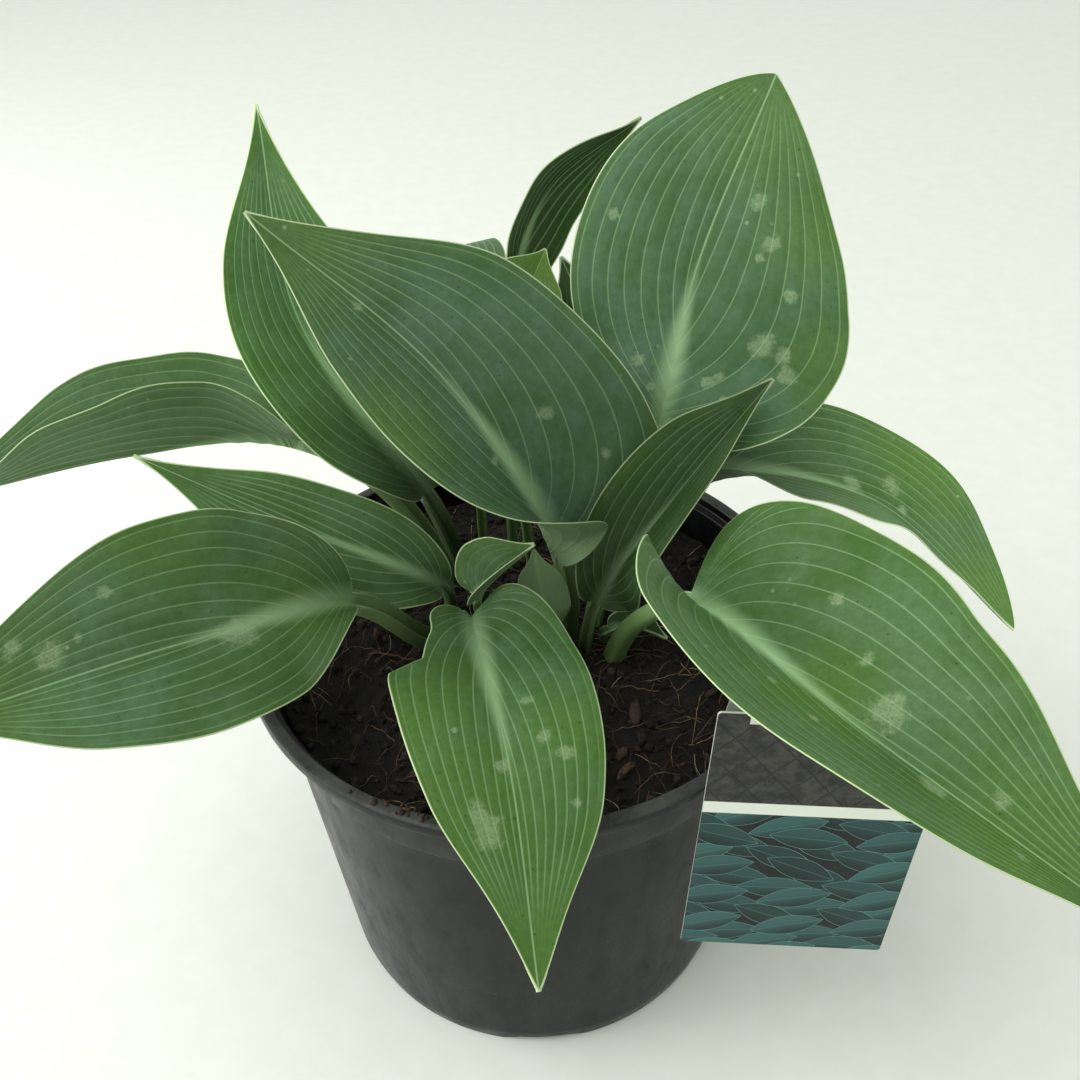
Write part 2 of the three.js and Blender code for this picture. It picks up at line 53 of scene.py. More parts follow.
POT_HEIGHT = 151
POT_SEGMENTS = 192
RIM_RADIUS = 95
RIM_DEPTH = 4.6
RIM_WIDTH = 4.4
BAND_RADIUS = (87.2, 90)
BAND_DEPTH = 25
BAND_STEP = 1.4
BASE_RADIUS = 76.5
WALL = 1.8
FOOT_HEIGHT = 6
FOOT_RADIUS = 75
FOOT_WIDTH = 7
FLOOR_THICKNESS = 2
PAD_RADIUS = 20
PAD_SLOPE = 3
FOOT_GAPS = 4
FOOT_GAP_WIDTH = (34, 18)
FOOT_GAP_HEIGHT = 3.6
DRAIN_HOLES = 8
DRAIN_RADIUS = 6
DRAIN_CIRCLE = 48
DRAIN_SEGMENTS = 32
LIP_BOTTOM = POT_HEIGHT - RIM_DEPTH
BAND_BOTTOM = POT_HEIGHT - BAND_DEPTH
WALL_TOP_RADIUS = BAND_RADIUS[0] - BAND_STEP

# ---- Soil ----

SOIL_LEVEL = 135
SOIL_DOME = 3
SOIL_LUMP = 1.4
SOIL_WAVE_COUNT = 16
SOIL_WAVE_PITCH = (2.2, 7)
SOIL_SEED = 7
CLEARANCE = 0.4  # between the soil and the pot
BED_RINGS = 110
BED_SEGMENTS = 260
LITTER_REACH = 0.985  # how far out crumbs and fibres lie, as a share of the soil's radius
CRUMBS = 2000
CRUMB_SIZE = (0.35, 1.9)
CHIPS = 30
CHIP_SIZE = (1.4, 4)
BIG_CHIP_AT = (34.5, -37.7)
BIG_CHIP_SIZE = 6.5
SPILL = 26
SPILL_SIZE = (0.3, 1.1)
SPILL_AT = (-35, -85)
SPILL_SPREAD = 9
THREAD_SIDES = 4
# Loose threads: how many, how far out, and the ranges of their length, steps, curl, lift and radius.
FIBRES = dict(count=620, reach=0.94, length=(5, 26), steps=14, curl=0.8, lift=(0.2, 3), radius=(0.06, 0.17))
ROOTLETS = dict(count=14, reach=0.5, length=(16, 40), steps=20, curl=0.6, lift=(0.5, 2), radius=(0.22, 0.45))

# ---- Label, as in the frame ----

CARD_SIZE = (65, 0.8, 110)
CARD_AT = (46, -84, 77)
CARD_TURN = 5
CARD_LEAN = 2.5
CARD_CORNER_RADIUS = 1.2
CARD_EDGE_RADIUS = 0.15
CARD_LAYERS = ((-1, 1), (-1, 0.6), (-0.8, 0.2), (-0.5, 0), (0.5, 0), (0.8, 0.2), (1, 0.6), (1, 1))
STRAP_WIDTH = 6
STRAP_ACROSS = 12
STRAP_STEPS = 90
STRAP_PATH = ((-4, 0), (1, 0), (4, 3), (3, 9), (-6, 18), (-20, 27), (-37, 34), (-52, 38), (-65, 39))
PRINT_BAND = (67.5, 72.5)  # the bare strip, up from the card's lower edge
MOTIF_CELL = (26, 15)  # the field of one printed leaf
MOTIF_HALF = (12, 5.1)  # half its length and half its width
MOTIF_SHIFTS = ((0, 0), (0.5, 0.36), (0.24, 0.7))  # of the three layers, in fields
SEAM_PITCH = (0.085, 0.07)

# ---- Camera ----

CAMERA_AT = (0, -296.5, 421.7)
CAMERA_PITCH = 39.1
CAMERA_YAW = 1.21
CAMERA_ROLL = -2.01
FOCAL_PIXELS = 1165
PHOTO_PIXELS = 1080
SENSOR = 36

# ---- Leaves, as in the frame ----

# Outlines of a half blade: (widest, full, taper, point).
HEART = (0.27, 0.43, 1.05, 0.3)
EGG = (0.27, 1.1, 1.05, 0.32)
TEARDROP = (0.27, 0.75, 1.05, 0.3)
ROUND = (0.35, 0.5, 0.93, 0.28)
FULL_ROUND = (0.35, 0.5, 0.93, 0.08)
BROAD = (0.45, 0.75, 0.95, 0.3)
FULL_BROAD = (0.45, 0.75, 0.95, 0.1)
OVAL = (0.42, 0.62, 1.1, 0.3)
SHOULDERED = (0.55, 0.78, 0.72, 0.12)
LANCE = (0.38, 0.65, 1.3, 0.28)
POINT_SPAN = (0.4, 0.9)

# path: root, knee, base, belly and tip of the midrib. faces: where the upper side looks at the base.
# Pairs are for the left and the right half: outlines, half widths, fold and bend in degrees, how far the
# basal lobes reach back, and how much they curl up (hood). veins: side veins in each half, and vein_show
# how plain they are. tone: how much lighter or darker the whole leaf is painted, partly its own colour and
# partly painted light and shade. base_shade: painted shade, how much darker its base is, where the
# leaves crowd and shade each other. pale_under: how much paler its underside is. nick: a nick in the
# margin, as its side, the share of the half width that is missing, and where it starts and ends. stains:
# pale water stains and crusts, and bare: patches where the bluish bloom has worn off, each as its place
# along, its place across and its radius.
LEAVES = (
    dict(node="leaf_tall_right", slot="leaf_blue", veins=8,
         path=((24, 5), (34, 14, 174), (47, 24, 208), (61, 48, 252), (89, 84, 300)),
         faces=(-0.1, -0.81, 0.57), outline=(SHOULDERED, FULL_ROUND), half=(40, 52), fold=(6, 8),
         bend=(-8, -14), lobes=(0, 6), ripple=0.8, tone=1.22, base_shade=0.1,
         stains=((0.7, 0.3, 3), (0.62, 0.45, 3), (0.57, 0.38, 2), (0.55, -0.75, 2.5), (0.5, 0.62, 2.5),
                 (0.31, 0.5, 5), (0.3, 0.64, 3), (0.24, 0.72, 4), (0.2, 0.32, 2), (0.17, 0.26, 2.5),
                 (0.14, 0.45, 2), (0.2, -0.4, 3), (0.12, -0.3, 2), (0.1, 0.6, 2.5)),
         bare=((0.3, 1, 18), (0.9, 0.5, 26), (0.7, 0.9, 20), (0.95, -0.5, 14))),
    dict(node="leaf_central", slot="leaf_blue", veins=8,
         path=((14, -2), (15, -4, 155), (13, -4, 178), (-22, 10, 239), (-77, 36, 282)),
         faces=(0.4, -0.68, 0.61), outline=(OVAL, HEART), half=(34, 45), fold=(26, 22), bend=(0, -4),
         lobes=(2, 12), hood=(150, 0), ripple=0.8, tone=0.98, base_shade=0.2,
         stains=((0.72, -0.1, 2.5), (0.3, -0.15, 2.5), (0.32, 0.4, 3), (0.2, 0.6, 2)),
         bare=((0.9, 0, 24), (0.5, -0.9, 16))),
    dict(node="leaf_tall_left", slot="leaf_green", veins=7,
         path=((-16, 19), (-23, 18, 164), (-31, 16, 191), (-68, 42, 243), (-75, 70, 302)),
         faces=(0.4, -0.75, 0.53), outline=(OVAL, LANCE), half=(26, 27), fold=(26, 20), lobes=(2, 2),
         ripple=0.6, tone=1.62, base_shade=0.8),
    dict(node="leaf_far_left", slot="leaf_green", veins=8,
         path=((-26, 30), (-46, 40, 174), (-77, 50, 191), (-135, 44, 192), (-204, 35, 183)),
         twist=-20, outline=(LANCE, OVAL), half=(36, 36), fold=(76, 25), lobes=(3, 3), ripple=0.8,
         pale_under=0.1),
    dict(node="leaf_folded", slot="leaf_green", veins=6,
         path=((20, -11), (20, -16, 149), (24, -13, 164), (50, -5, 201), (80, 10, 232)),
         faces=(-0.24, -0.84, 0.48), outline=(BROAD, OVAL), half=(19, 20), fold=(12, 74), lobes=(3, 0),
         hood=(15, -60), ripple=0.5, tone=0.6, base_shade=0.45),
    dict(node="leaf_lance_left", slot="leaf_green", veins=6,
         path=((-25, 8), (-25, 1, 152), (-27, -5, 167), (-71, 2, 189), (-122, 14, 212)),
         faces=(0.1, -0.6, 0.78), outline=(LANCE, LANCE), half=(18, 16), fold=(14, 14), lobes=(1, 1),
         ripple=0.8, tone=1.06, base_shade=0.6, pale_under=0.2),
    dict(node="leaf_low_left", slot="leaf_worn", veins=8,
         path=((-23, -2), (-34, -19, 158), (-53, -30, 184), (-99, -52, 191), (-168, -74, 185)),
         faces=(0.13, -0.33, 0.93), outline=(BROAD, FULL_BROAD), half=(31, 38), fold=(14, 14),
         bend=(-6, -6), ripple=0.8, tone=0.84, base_shade=0.35,
         stains=((0.35, -0.1, 6), (0.74, 0.3, 5), (0.8, 0.62, 3.5), (0.68, 0.35, 2), (0.62, 0.6, 2.5)),
         bare=((0.15, 0, 20), (0.95, 0, 30), (0.5, 1, 20))),
    dict(node="leaf_front", slot="leaf_worn", veins=8,
         path=((-14, -7), (-16, -12, 155), (-17, -22, 168), (-6, -90, 175), (-1, -134, 137)),
         faces=(0, -0.2, 1), outline=(ROUND, EGG), half=(27, 27), nick=(1, 0.36, 0.05, 0.235),
         fold=(10, 10), bend=(-8, -8), lobes=(1, 3), hood=(0, -30), ripple=0.6, tone=1.08, base_shade=0.35,
         stains=((0.64, 0.42, 5), (0.6, 0.5, 3.5), (0.45, -0.4, 2.5), (0.5, -0.6, 3), (0.36, -0.3, 2.5),
                 (0.5, 0.1, 2.5), (0.4, 0.5, 1.5), (0.62, -0.7, 2)),
         bare=((0.35, 0.9, 24), (0.6, 0.7, 28), (0.45, -0.6, 15), (0.9, 0, 30))),
    dict(node="leaf_low_right", slot="leaf_green", veins=9,
         path=((30, -12), (37, -22, 164), (50, -34, 181), (86, -104, 196), (146, -160, 178)),
         faces=(0.15, -0.1, 1), outline=(HEART, TEARDROP), half=(46, 43), fold=(32, 32), bend=(-6, 0),
         lobes=(3, 8), hood=(0, 45), ripple=0.8, tone=1.28,
         stains=((0.4, -0.35, 3), (0.5, -0.2, 6), (0.62, 0.1, 4), (0.35, 0.3, 2), (0.7, -0.25, 3),
                 (0.45, 0.35, 2), (0.75, 0.3, 2.5), (0.28, -0.5, 2.5)),
         bare=((0.4, 0.1, 16), (0.75, 0.4, 22), (0.95, 0, 26))),
    dict(node="leaf_arching_right", slot="leaf_green", veins=8,
         path=((33, 3), (44, 19, 158), (64, 35, 177), (128, 38, 162), (178, 5, 124)),
         outline=(SHOULDERED, OVAL), half=(41, 34), fold=(17, 18), lobes=(3, 3), ripple=0.8, tone=1.58,
         base_shade=0.75,
         stains=((0.45, -0.1, 4), (0.55, -0.3, 5), (0.6, -0.1, 3)),
         bare=((0.6, -0.9, 24), (0.95, 0, 24))),
    dict(node="leaf_upper_back", slot="leaf_shaded", veins=5,
         path=((-3, 38), (-3, 50, 190), (0, 60, 237), (15, 78, 267), (47, 92, 285)),
         faces=(0.5, -0.86, 0.08), half=(11, 13), fold=(30, 20), lobes=(2, 2), ripple=0.5),
    dict(node="leaf_rear_drooping", slot="leaf_blue", veins=6,
         path=((-14, 40), (-14, 52, 190), (-15, 64, 228), (-16, 98, 238), (-32, 150, 205)),
         half=(17, 14), fold=(10, 10), bend=(-10, -10), lobes=(2, 2), ripple=0.6, tone=1.15),
    dict(node="leaf_young_pale", slot="leaf_young", veins=6, vein_show=0.5,
         path=((4, 28), (1, 34, 175), (-4, 42, 218), (5, 53, 240), (13, 66, 252)),
         faces=(0.21, -0.67, 0.71), half=(17, 13), fold=(20, 20), lobes=(1, 1), tone=1.08),
    dict(node="leaf_back_shaded", slot="leaf_shaded", veins=6, vein_show=0.6,
         path=((19, 25), (28, 28, 165), (42, 30, 194), (30, 46, 224), (18, 66, 249)),
         faces=(0, -0.88, 0.48), half=(18, 18), fold=(12, 12), lobes=(1, 1)),
    dict(node="leaf_small_cup", slot="leaf_green", veins=5, vein_show=0.35,
         path=((-14, 3), (-15, -6, 154), (-15, -12, 168), (-8, -12, 177), (4, -12, 189)),
         faces=(-0.1, -0.3, 1), half=(14, 9), fold=(42, 52), lobes=(2, 2)),
    dict(node="leaf_small_sheath", slot="leaf_shaded", veins=4, vein_show=0.15,
         path=((9, -15), (9, -14, 142), (9, -12, 150), (6, -11, 168), (4, -10, 185)),
         faces=(0, 0.95, 0.3), half=(8, 8), fold=(12, 12), bend=(10, 10)),
    dict(node="leaf_small_low", slot="leaf_shaded", veins=4, vein_show=0.3,
         path=((27, -4), (27, -5, 142), (29, -6, 144), (38, -8, 147), (48, -13, 146)),
         faces=(-0.1, -0.3, 1), half=(6, 5), fold=(12, 60)),
)
LEAF_DEFAULTS = dict(faces=(0, 0, 1), outline=(OVAL, OVAL), twist=0, bend=(0, 0), lobes=(0, 0),
                     hood=(0, 0), ripple=0, tone=1, base_shade=0, vein_show=1, pale_under=1,
                     nick=(0, 0, 0, 1), stains=(), bare=())

STALK_HALF_WIDTH = 3.1
STALK_THICKNESS = 3.4
STALK_CHANNEL = 48
STALK_SUNK = 14
STALK_CLEAR = 2  # how far above the soil a stalk still stands upright
TIP_HALF_WIDTH = 0.2
BASE_AT = 0.6
LOBE_AT = 0.08
OPEN_AT = 0.25
CURL_WIDTH = 0.6  # the share of its full width from which a half blade bends in full
RIPPLE_PITCH = 21
FULL_WIDTH = 56  # the width of a blade whose stalk has the full size
STALK_SCALE = (0.55, 1.1)

BLADE_THICKNESS = 0.55
MARGIN_THICKNESS = 0.35
SHEATH_THICKNESS = (1, 0.8)
RIB_THICKNESS = 0.9
STALK_STEPS = 30
BLADE_STEPS = 104
COLUMN_WIDTH = 0.8
COLUMNS = (12, 60)
CREASE = 0.04  # how wide, in half widths, the fold along the midrib is rounded
QUILT = 0.055  # height of the swelling between two veins, in vein spacings
QUILT_SOFTNESS = 0.03
QUILT_WIDEST = 7
VEIN_ORDERS = np.linspace(0, 1.3, 420)  # shares of a half blade's veins, and some way past its margin
VEIN_START = 0.46  # how far up the midrib the last side veins leave it
VEIN_START_POWER = 2.2
VEIN_RUN = (0.055, 0.24)  # how slowly the outermost and the innermost vein reach their place
NICK_EDGES = (0.09, 0.03)  # how far a nick takes to deepen and to end
NICK_POWER = 1.5
BLADE_STARTS = (-0.06, 0.01)  # where the stalk's colour turns into the blade's


def smooth(x):
    x = np.clip(x, 0, 1)
    return x * x * (3 - 2 * x)


def lerp(a, b, share):
    return a + (b - a) * share


def unit(vectors):
    return vectors / np.maximum(np.linalg.norm(vectors, axis=-1, keepdims=True), 1e-9)


# ---- Meshes ----
#
# A shape is its points, in millimetres, and its faces.

def new_mesh(name, shape):
    points, faces = shape
    mesh = bpy.data.meshes.new(name)
    mesh.from_pydata((np.asarray(points, float) * MM).tolist(), [], faces)
    return mesh


def add_object(name, data):
    thing = bpy.data.objects.new(name, data)
    bpy.context.scene.collection.objects.link(thing)
    return thing


def add_piece(name, shape, material, replaces=()):
    """A smooth mesh piece that rides on the part."""
    mesh = new_mesh(name, shape)
    mesh.shade_smooth()
    mesh.materials.append(material)
    piece = add_object(name, mesh)
    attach(piece, "root")
    if replaces:
        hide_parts(*replaces)
    return piece


def add_attribute(piece, name, values):
    """Three numbers at each vertex, for the material to read."""
    attribute = piece.data.attributes.new(name, "FLOAT_VECTOR", "POINT")
    attribute.data.foreach_set("vector", np.asarray(values, np.float32).ravel())


def tube(rings, caps=True):
    """The shell through rings of equally many points."""
    rings = np.asarray(rings, float)
    ring_count, count = rings.shape[:2]
    faces = []
    for start in range(0, (ring_count - 1) * count, count):
        for j in range(count):
            step = (j + 1) % count
            faces.append((start + j, start + step, start + count + step, start + count + j))
    if caps:
        faces.append(tuple(range(count - 1, -1, -1)))
        faces.append(tuple(range((ring_count - 1) * count, ring_count * count)))
    return rings.reshape(-1, 3), faces


def joined(shapes):
    """Several shapes as one."""
    start, faces = 0, []
    for points, own_faces in shapes:
        faces += [tuple(start + k for k in face) for face in own_faces]
        start += len(points)
    return np.concatenate([points for points, _ in shapes]), faces


def circle(radius, z, count):
    """Points round a level circle about Z."""
    angles = np.linspace(0, 2 * np.pi, count, endpoint=False)
    return np.stack([radius * np.cos(angles), radius * np.sin(angles), np.full(count, z)], axis=-1)


def smooth_path(points, t):
    """Places and directions at t, from 0 to 1, on the centripetal Catmull-Rom curve through points."""
    points = np.asarray(points, float)
    ends = np.vstack([2 * points[0] - points[1], points, 2 * points[-1] - points[-2]])
    place = np.asarray(t) * (len(points) - 1)
    piece = np.clip(place.astype(int), 0, len(points) - 2)
    w = (place - piece)[:, None]
    x0, x1, x2, x3 = (ends[piece + i] for i in range(4))
    strides = (x1 - x0, x2 - x1, x3 - x2)
    d0, d1, d2 = (np.linalg.norm(stride, axis=1, keepdims=True) ** 0.5 for stride in strides)
    leave = ((x1 - x0) / d0 - (x2 - x0) / (d0 + d1) + (x2 - x1) / d1) * d1
    arrive = ((x2 - x1) / d1 - (x3 - x1) / (d1 + d2) + (x3 - x2) / d2) * d1
    square = -3 * x1 + 3 * x2 - 2 * leave - arrive
    cube = 2 * x1 - 2 * x2 + leave + arrive
    where = x1 + w * (leave + w * (square + w * cube))
    return where, unit(leave + w * (2 * square + 3 * w * cube))


# ---- Node graphs ----

def srgb(red, green, blue):
    """A colour given from 0 to 255 as screens show it, as linear light."""
    shown = np.array([red, green, blue]) / 255
    return tuple(np.where(shown < 0.04045, shown / 12.92, ((shown + 0.055) / 1.055) ** 2.4).tolist())


def darker(colour, share):
    return tuple(share * channel for channel in colour)


def arithmetic(operation):
    """The method that puts a Value and another, or a number, into a maths node."""
    return lambda self, other: self.finish.math(operation, self, other)


class Value:
    """A number or a colour that a node gives. Arithmetic with it makes further nodes."""

    def __init__(self, finish, socket):
        self.finish = finish
        self.socket = socket

    __add__ = arithmetic("ADD")
    __sub__ = arithmetic("SUBTRACT")
    __mul__ = arithmetic("MULTIPLY")
    __truediv__ = arithmetic("DIVIDE")

    def __rsub__(self, other):
        return self.finish.math("SUBTRACT", other, self)

    def __abs__(self):
        return self.finish.math("ABSOLUTE", self)

    def step(self, low, high, out_low=0, out_high=1):
        """Smoothly from out_low at low to out_high at high."""
        inputs = dict(enumerate((self, low, high, out_low, out_high)))
        return self.finish.add("MapRange", inputs, interpolation_type="SMOOTHSTEP")


class Finish:
    """The nodes of one material. Sizes in its patterns are millimetres."""

    def __init__(self, name):
        self.material = bpy.data.materials.new(name)
        self.material.use_nodes = True
        self.tree = self.material.node_tree
        self.surface = self.tree.nodes["Principled BSDF"]
        self.place = self.scaled(self.add("TexCoord", {}, "Object"), 1 / MM)
        self.colour = None

    def put(self, socket, value):
        if isinstance(value, Value):
            self.tree.links.new(value.socket, socket)
        elif socket.type == "RGBA":
            socket.default_value = (*value, 1)
        else:
            socket.default_value = value

    def add(self, kind, inputs, output=0, **settings):
        """Adds a node, with its inputs given by number or name, and gives one of its outputs."""
        node = self.tree.nodes.new("ShaderNode" + kind)
        for key, setting in settings.items():
            setattr(node, key, setting)
        for key, value in inputs.items():
            self.put(node.inputs[key], value)
        return Value(self, node.outputs[output])

    def math(self, operation, *values):
        return self.add("Math", dict(enumerate(values)), operation=operation)

    def scaled(self, vector, factor):
        return self.add("VectorMath", {0: vector, "Scale": factor}, operation="SCALE")

    def mix(self, first, second, share):
        return self.add("Mix", {0: share, 6: first, 7: second}, 2, data_type="RGBA")

    def lay(self, colour, share):
        """Lays a colour over the ones so far."""
        self.colour = self.mix(self.colour, colour, share)

    def combine(self, *numbers):
        return self.add("CombineXYZ", dict(enumerate(numbers)))

    def split(self, vector):
        """The three numbers of a vector."""
        first = self.add("SeparateXYZ", {0: vector})
        return [Value(self, output) for output in first.socket.node.outputs]

    def numbers(self, name):
        """The three numbers of a vertex attribute."""
        return self.split(self.add("Attribute", {}, "Vector", attribute_name=name))

    def noise(self, size, detail=4, roughness=0.6, place=None):
        inputs = {"Vector": place or self.place, "Scale": 1 / size, "Detail": detail, "Roughness": roughness}
        return self.add("TexNoise", inputs)

    def cells(self, size):
        """Distance to the nearest of many scattered points, in units of size, and a random number for it."""
        distance = self.add("TexVoronoi", {"Vector": self.place, "Scale": 1 / size}, "Distance")
        return distance, Value(self, distance.socket.node.outputs["Color"])

    def specks(self, size, inner, outer, share):
        """Small round specks on about a third of the scattered points."""
        speck, luck = self.cells(size)
        return speck.step(inner, outer, share, 0) * luck.step(0.6, 0.7)

    def bump(self, height, depth, strength=1):
        """Relief from a height of 0 to 1 that stands depth millimetres high, over the relief so far."""
        normal = self.surface.inputs["Normal"]
        inputs = {"Height": height, "Distance": depth * MM, "Strength": strength}
        if normal.links:
            inputs["Normal"] = Value(self, normal.links[0].from_socket)
        self.put(normal, self.add("Bump", inputs))

    def done(self, roughness, specular):
        """Gives the surface its colour, its roughness and its specular level, which is one number."""
        self.put(self.surface.inputs["Base Color"], self.colour)
        self.put(self.surface.inputs["Roughness"], roughness)
        self.surface.inputs["Specular IOR Level"].default_value = specular
        return self.material


# ---- Leaves ----

LEAF_COLOURS = {
    # slot: where the bloom lies, bare green, worn yellow-green
    "leaf_blue": (srgb(84, 114, 88), srgb(66, 99, 58), srgb(84, 116, 52)),
    "leaf_green": (srgb(83, 114, 74), srgb(66, 100, 46), srgb(84, 120, 48)),
    "leaf_worn": (srgb(82, 118, 80), srgb(64, 98, 46), srgb(78, 114, 42)),
    "leaf_young": (srgb(94, 128, 66), srgb(90, 124, 50), srgb(106, 142, 52)),
    # leaf_shaded is a darker copy of the green for the leaves at the back and low in the plant: painted
    # shade.
    "leaf_shaded": (srgb(56, 82, 46), srgb(50, 74, 34), srgb(60, 90, 36)),
}
VEIN_COLOUR = srgb(138, 168, 122)
BUNDLE_COLOUR = srgb(156, 190, 140)
MARGIN_COLOUR = srgb(204, 220, 178)
STALK_COLOURS = (srgb(82, 108, 62), srgb(122, 150, 98))
STAIN_COLOUR = srgb(158, 178, 138)
UNDER_COLOUR = srgb(130, 156, 114)


def leaf_scale(leaf):
    return float(np.clip(sum(leaf.half) / FULL_WIDTH, *STALK_SCALE))


def outline_at(outline, s):
    """Half width of the blade's outline as a share of its widest."""
    widest, full, taper, point = outline
    rising = np.clip(1 - (1 - s / widest) ** 2, 0, 1) ** full
    past = (s - widest) / (1 - widest)
    drawn = smooth((past - POINT_SPAN[0]) / (POINT_SPAN[1] - POINT_SPAN[0]))
    falling = np.clip(1 - past ** 2, 0, 1) ** taper * (1 - point * drawn)
    return np.where(s < widest, rising, falling)


def half_values(leaf, s, side):
    """Half width, fold, bend, lobe and ripple of one half of a leaf at the rows s."""
    blade = np.maximum(0, s)
    stalk = lerp(STALK_HALF_WIDTH, TIP_HALF_WIDTH, blade) * leaf_scale(leaf)
    shown = np.where(s > 0, leaf.half[side] * outline_at(leaf.outline[side], blade), 0)
    half = np.maximum(stalk, stalk * (1 - blade) + shown)
    lobe = (blade / LOBE_AT) * np.exp(1 - blade / LOBE_AT)
    opened = smooth(blade / OPEN_AT)
    curled = np.minimum(1, half / leaf.half[side] / CURL_WIDTH)
    fold = np.radians(lerp(STALK_CHANNEL, leaf.fold[side], opened))
    bend = np.radians(leaf.bend[side] * opened + leaf.hood[side] * lobe) * curled
    ripple = leaf.ripple * np.sin(s * RIPPLE_PITCH + side * 2) * smooth(4 * blade * (1 - blade))
    return half, fold, bend, leaf.lobes[side] * lobe, ripple


def carry_upper_side(leaf, s, ahead):
    """The upper side's direction at each row, carried both ways along the midrib from the blade's base."""
    up = np.zeros_like(ahead)
    start = int(np.argmin(np.abs(s)))
    for rows in (range(start, len(s)), range(start, -1, -1)):
        direction = np.array(leaf.faces, float)
        for i in rows:
            direction = unit(direction - direction @ ahead[i] * ahead[i])
            up[i] = direction
    turn = np.radians(leaf.twist) * np.maximum(0, s)[:, None]
    return up * np.cos(turn) + np.cross(ahead, up) * np.sin(turn)


def midrib(leaf, s):
    """Places and directions along the leaf: s is -1 at its foot, 0 at the blade's base and 1 at the tip."""
    root, *others = leaf.path
    path = [(*root, SOIL_LEVEL - STALK_SUNK), (*root, SOIL_LEVEL + STALK_CLEAR), *others]
    return smooth_path(path, np.where(s < 0, BASE_AT * (1 + s), lerp(BASE_AT, 1, s)))


def spread_of(leaf, s, v):
    """How far out each point lies as a share of the half width: less where the margin has a nick."""
    side, share, start, end = leaf.nick
    missing = share * smooth((s - start) / NICK_EDGES[0]) * smooth((end - s) / NICK_EDGES[1])
    missing = missing[:, None] * ((v >= 0) == side)
    return np.abs(v) * (1 - missing * np.abs(v) ** NICK_POWER)


def leaf_grid(leaf, s, v):
    """The upper face at rows s and columns v, with the half width and the reach at each of its points."""
    where, ahead = midrib(leaf, s)
    up = carry_upper_side(leaf, s, ahead)
    right = np.cross(ahead, up)
    halves = zip(half_values(leaf, s, 0), half_values(leaf, s, 1))
    side = (v >= 0).astype(int)
    half, fold, bend, lobe, ripple = (np.stack(pair, axis=1)[:, side] for pair in halves)
    reach = spread_of(leaf, s, v)
    crease = np.sqrt(reach ** 2 + CREASE ** 2) - CREASE
    angle = fold + bend * reach / 2
    out = np.sign(v) * half * reach * np.cos(angle)
    rise = half * crease * np.sin(angle) + ripple * reach ** 3
    back = lobe * reach ** 2
    grid = (where[:, None] + right[:, None] * out[..., None] + up[:, None] * rise[..., None]
            - ahead[:, None] * back[..., None])
    return grid, half, reach


def face_normals(grid):
    return unit(np.cross(np.gradient(grid, axis=1), np.gradient(grid, axis=0)))


def vein_numbers(leaf, s, reach, half):
    """Which side vein lies at each point, counted from the midrib, and how far apart the veins are there.

    The veins leave the midrib one after another, the outermost at the base, and reach their share of the
    width further up. A vein lies where the count is a whole number, and the midrib is number 0.
    """
    total = leaf.veins + 0.5
    inward = np.maximum(0, 1 - VEIN_ORDERS)
    leaves_at = VEIN_START * inward ** VEIN_START_POWER
    run = lerp(*VEIN_RUN, inward)
    count = np.zeros_like(half)
    spacing = np.zeros_like(half)
    for i, along in enumerate(np.maximum(s, 0.002)):
        across = VEIN_ORDERS * (1 - np.exp(-np.maximum(0, along - leaves_at) / run))
        found = np.interp(reach[i], across, VEIN_ORDERS)
        count[i] = found * total
        spacing[i] = half[i] * np.interp(found, VEIN_ORDERS, np.gradient(across, VEIN_ORDERS)) / total
    return count, np.maximum(spacing, 0) * (s > 0)[:, None]


def patches(grid, s, v, marks):
    """How near each point is to the nearest mark: 1 at its centre, 0.4 at its radius, 0 well outside."""
    shown = np.zeros(grid.shape[:2])
    for along, across, radius in marks:
        centre = grid[np.argmin(np.abs(s - along)), np.argmin(np.abs(v - across))]
        shown = np.maximum(shown, 1 - 0.6 * np.linalg.norm(grid - centre, axis=-1) / radius)
    return shown


def blade_depth(leaf, s, v, grid):
    """Thickness at each point: thick in the stalk and the midrib, thin in the blade."""
    scale = leaf_scale(leaf)
    from_midrib = np.linalg.norm(grid - grid[:, [np.argmin(np.abs(v))]], axis=-1)
    near = np.maximum(0, 1 - (from_midrib / (STALK_HALF_WIDTH * scale)) ** 2)
    rib = lerp(STALK_THICKNESS * scale, RIB_THICKNESS, smooth(s * 2 + 0.2))[:, None]
    opened = smooth(s / 0.05 + 1)[:, None]
    middle = lerp(SHEATH_THICKNESS[0], BLADE_THICKNESS, opened)
    margin = lerp(SHEATH_THICKNESS[1], MARGIN_THICKNESS, opened)
    return lerp(lerp(middle, margin, np.abs(v)[None]), rib, near)


def ring_up(upper, lower, right_edge, left_edge):
    """Both faces of a leaf as rings round it: over the top from left to right, and back underneath."""
    return np.concatenate([upper, right_edge[:, None], lower[:, ::-1], left_edge[:, None]], axis=1)


def margin_line(inner_upper, upper, lower):
    """The rounded margin halfway between both faces, a little outside them."""
    outward = unit(upper - inner_upper)
    thickness = np.linalg.norm(upper - lower, axis=-1, keepdims=True)
    return (upper + lower) / 2 + outward * thickness / 2


def leaf_rings(leaf, s, v, grid, veins):
    """Rings round the leaf, whose faces swell between the veins."""
    count, spacing = veins
    swelling = QUILT * np.sqrt(np.sin(np.pi * count) ** 2 + QUILT_SOFTNESS)
    upper = grid + face_normals(grid) * (swelling * np.minimum(spacing, QUILT_WIDEST))[..., None]
    lower = upper - face_normals(upper) * blade_depth(leaf, s, v, grid)[..., None]
    right_edge = margin_line(upper[:, -2], upper[:, -1], lower[:, -1])
    left_edge = margin_line(upper[:, 1], upper[:, 0], lower[:, 0])
    return ring_up(upper, lower, right_edge, left_edge)


def all_round(*values):
    """Three numbers at each of the grid's points as three numbers at each of the rings' points."""
    numbers = np.stack(np.broadcast_arrays(*values), axis=-1)
    return ring_up(numbers, numbers, numbers[:, -1], numbers[:, 0])


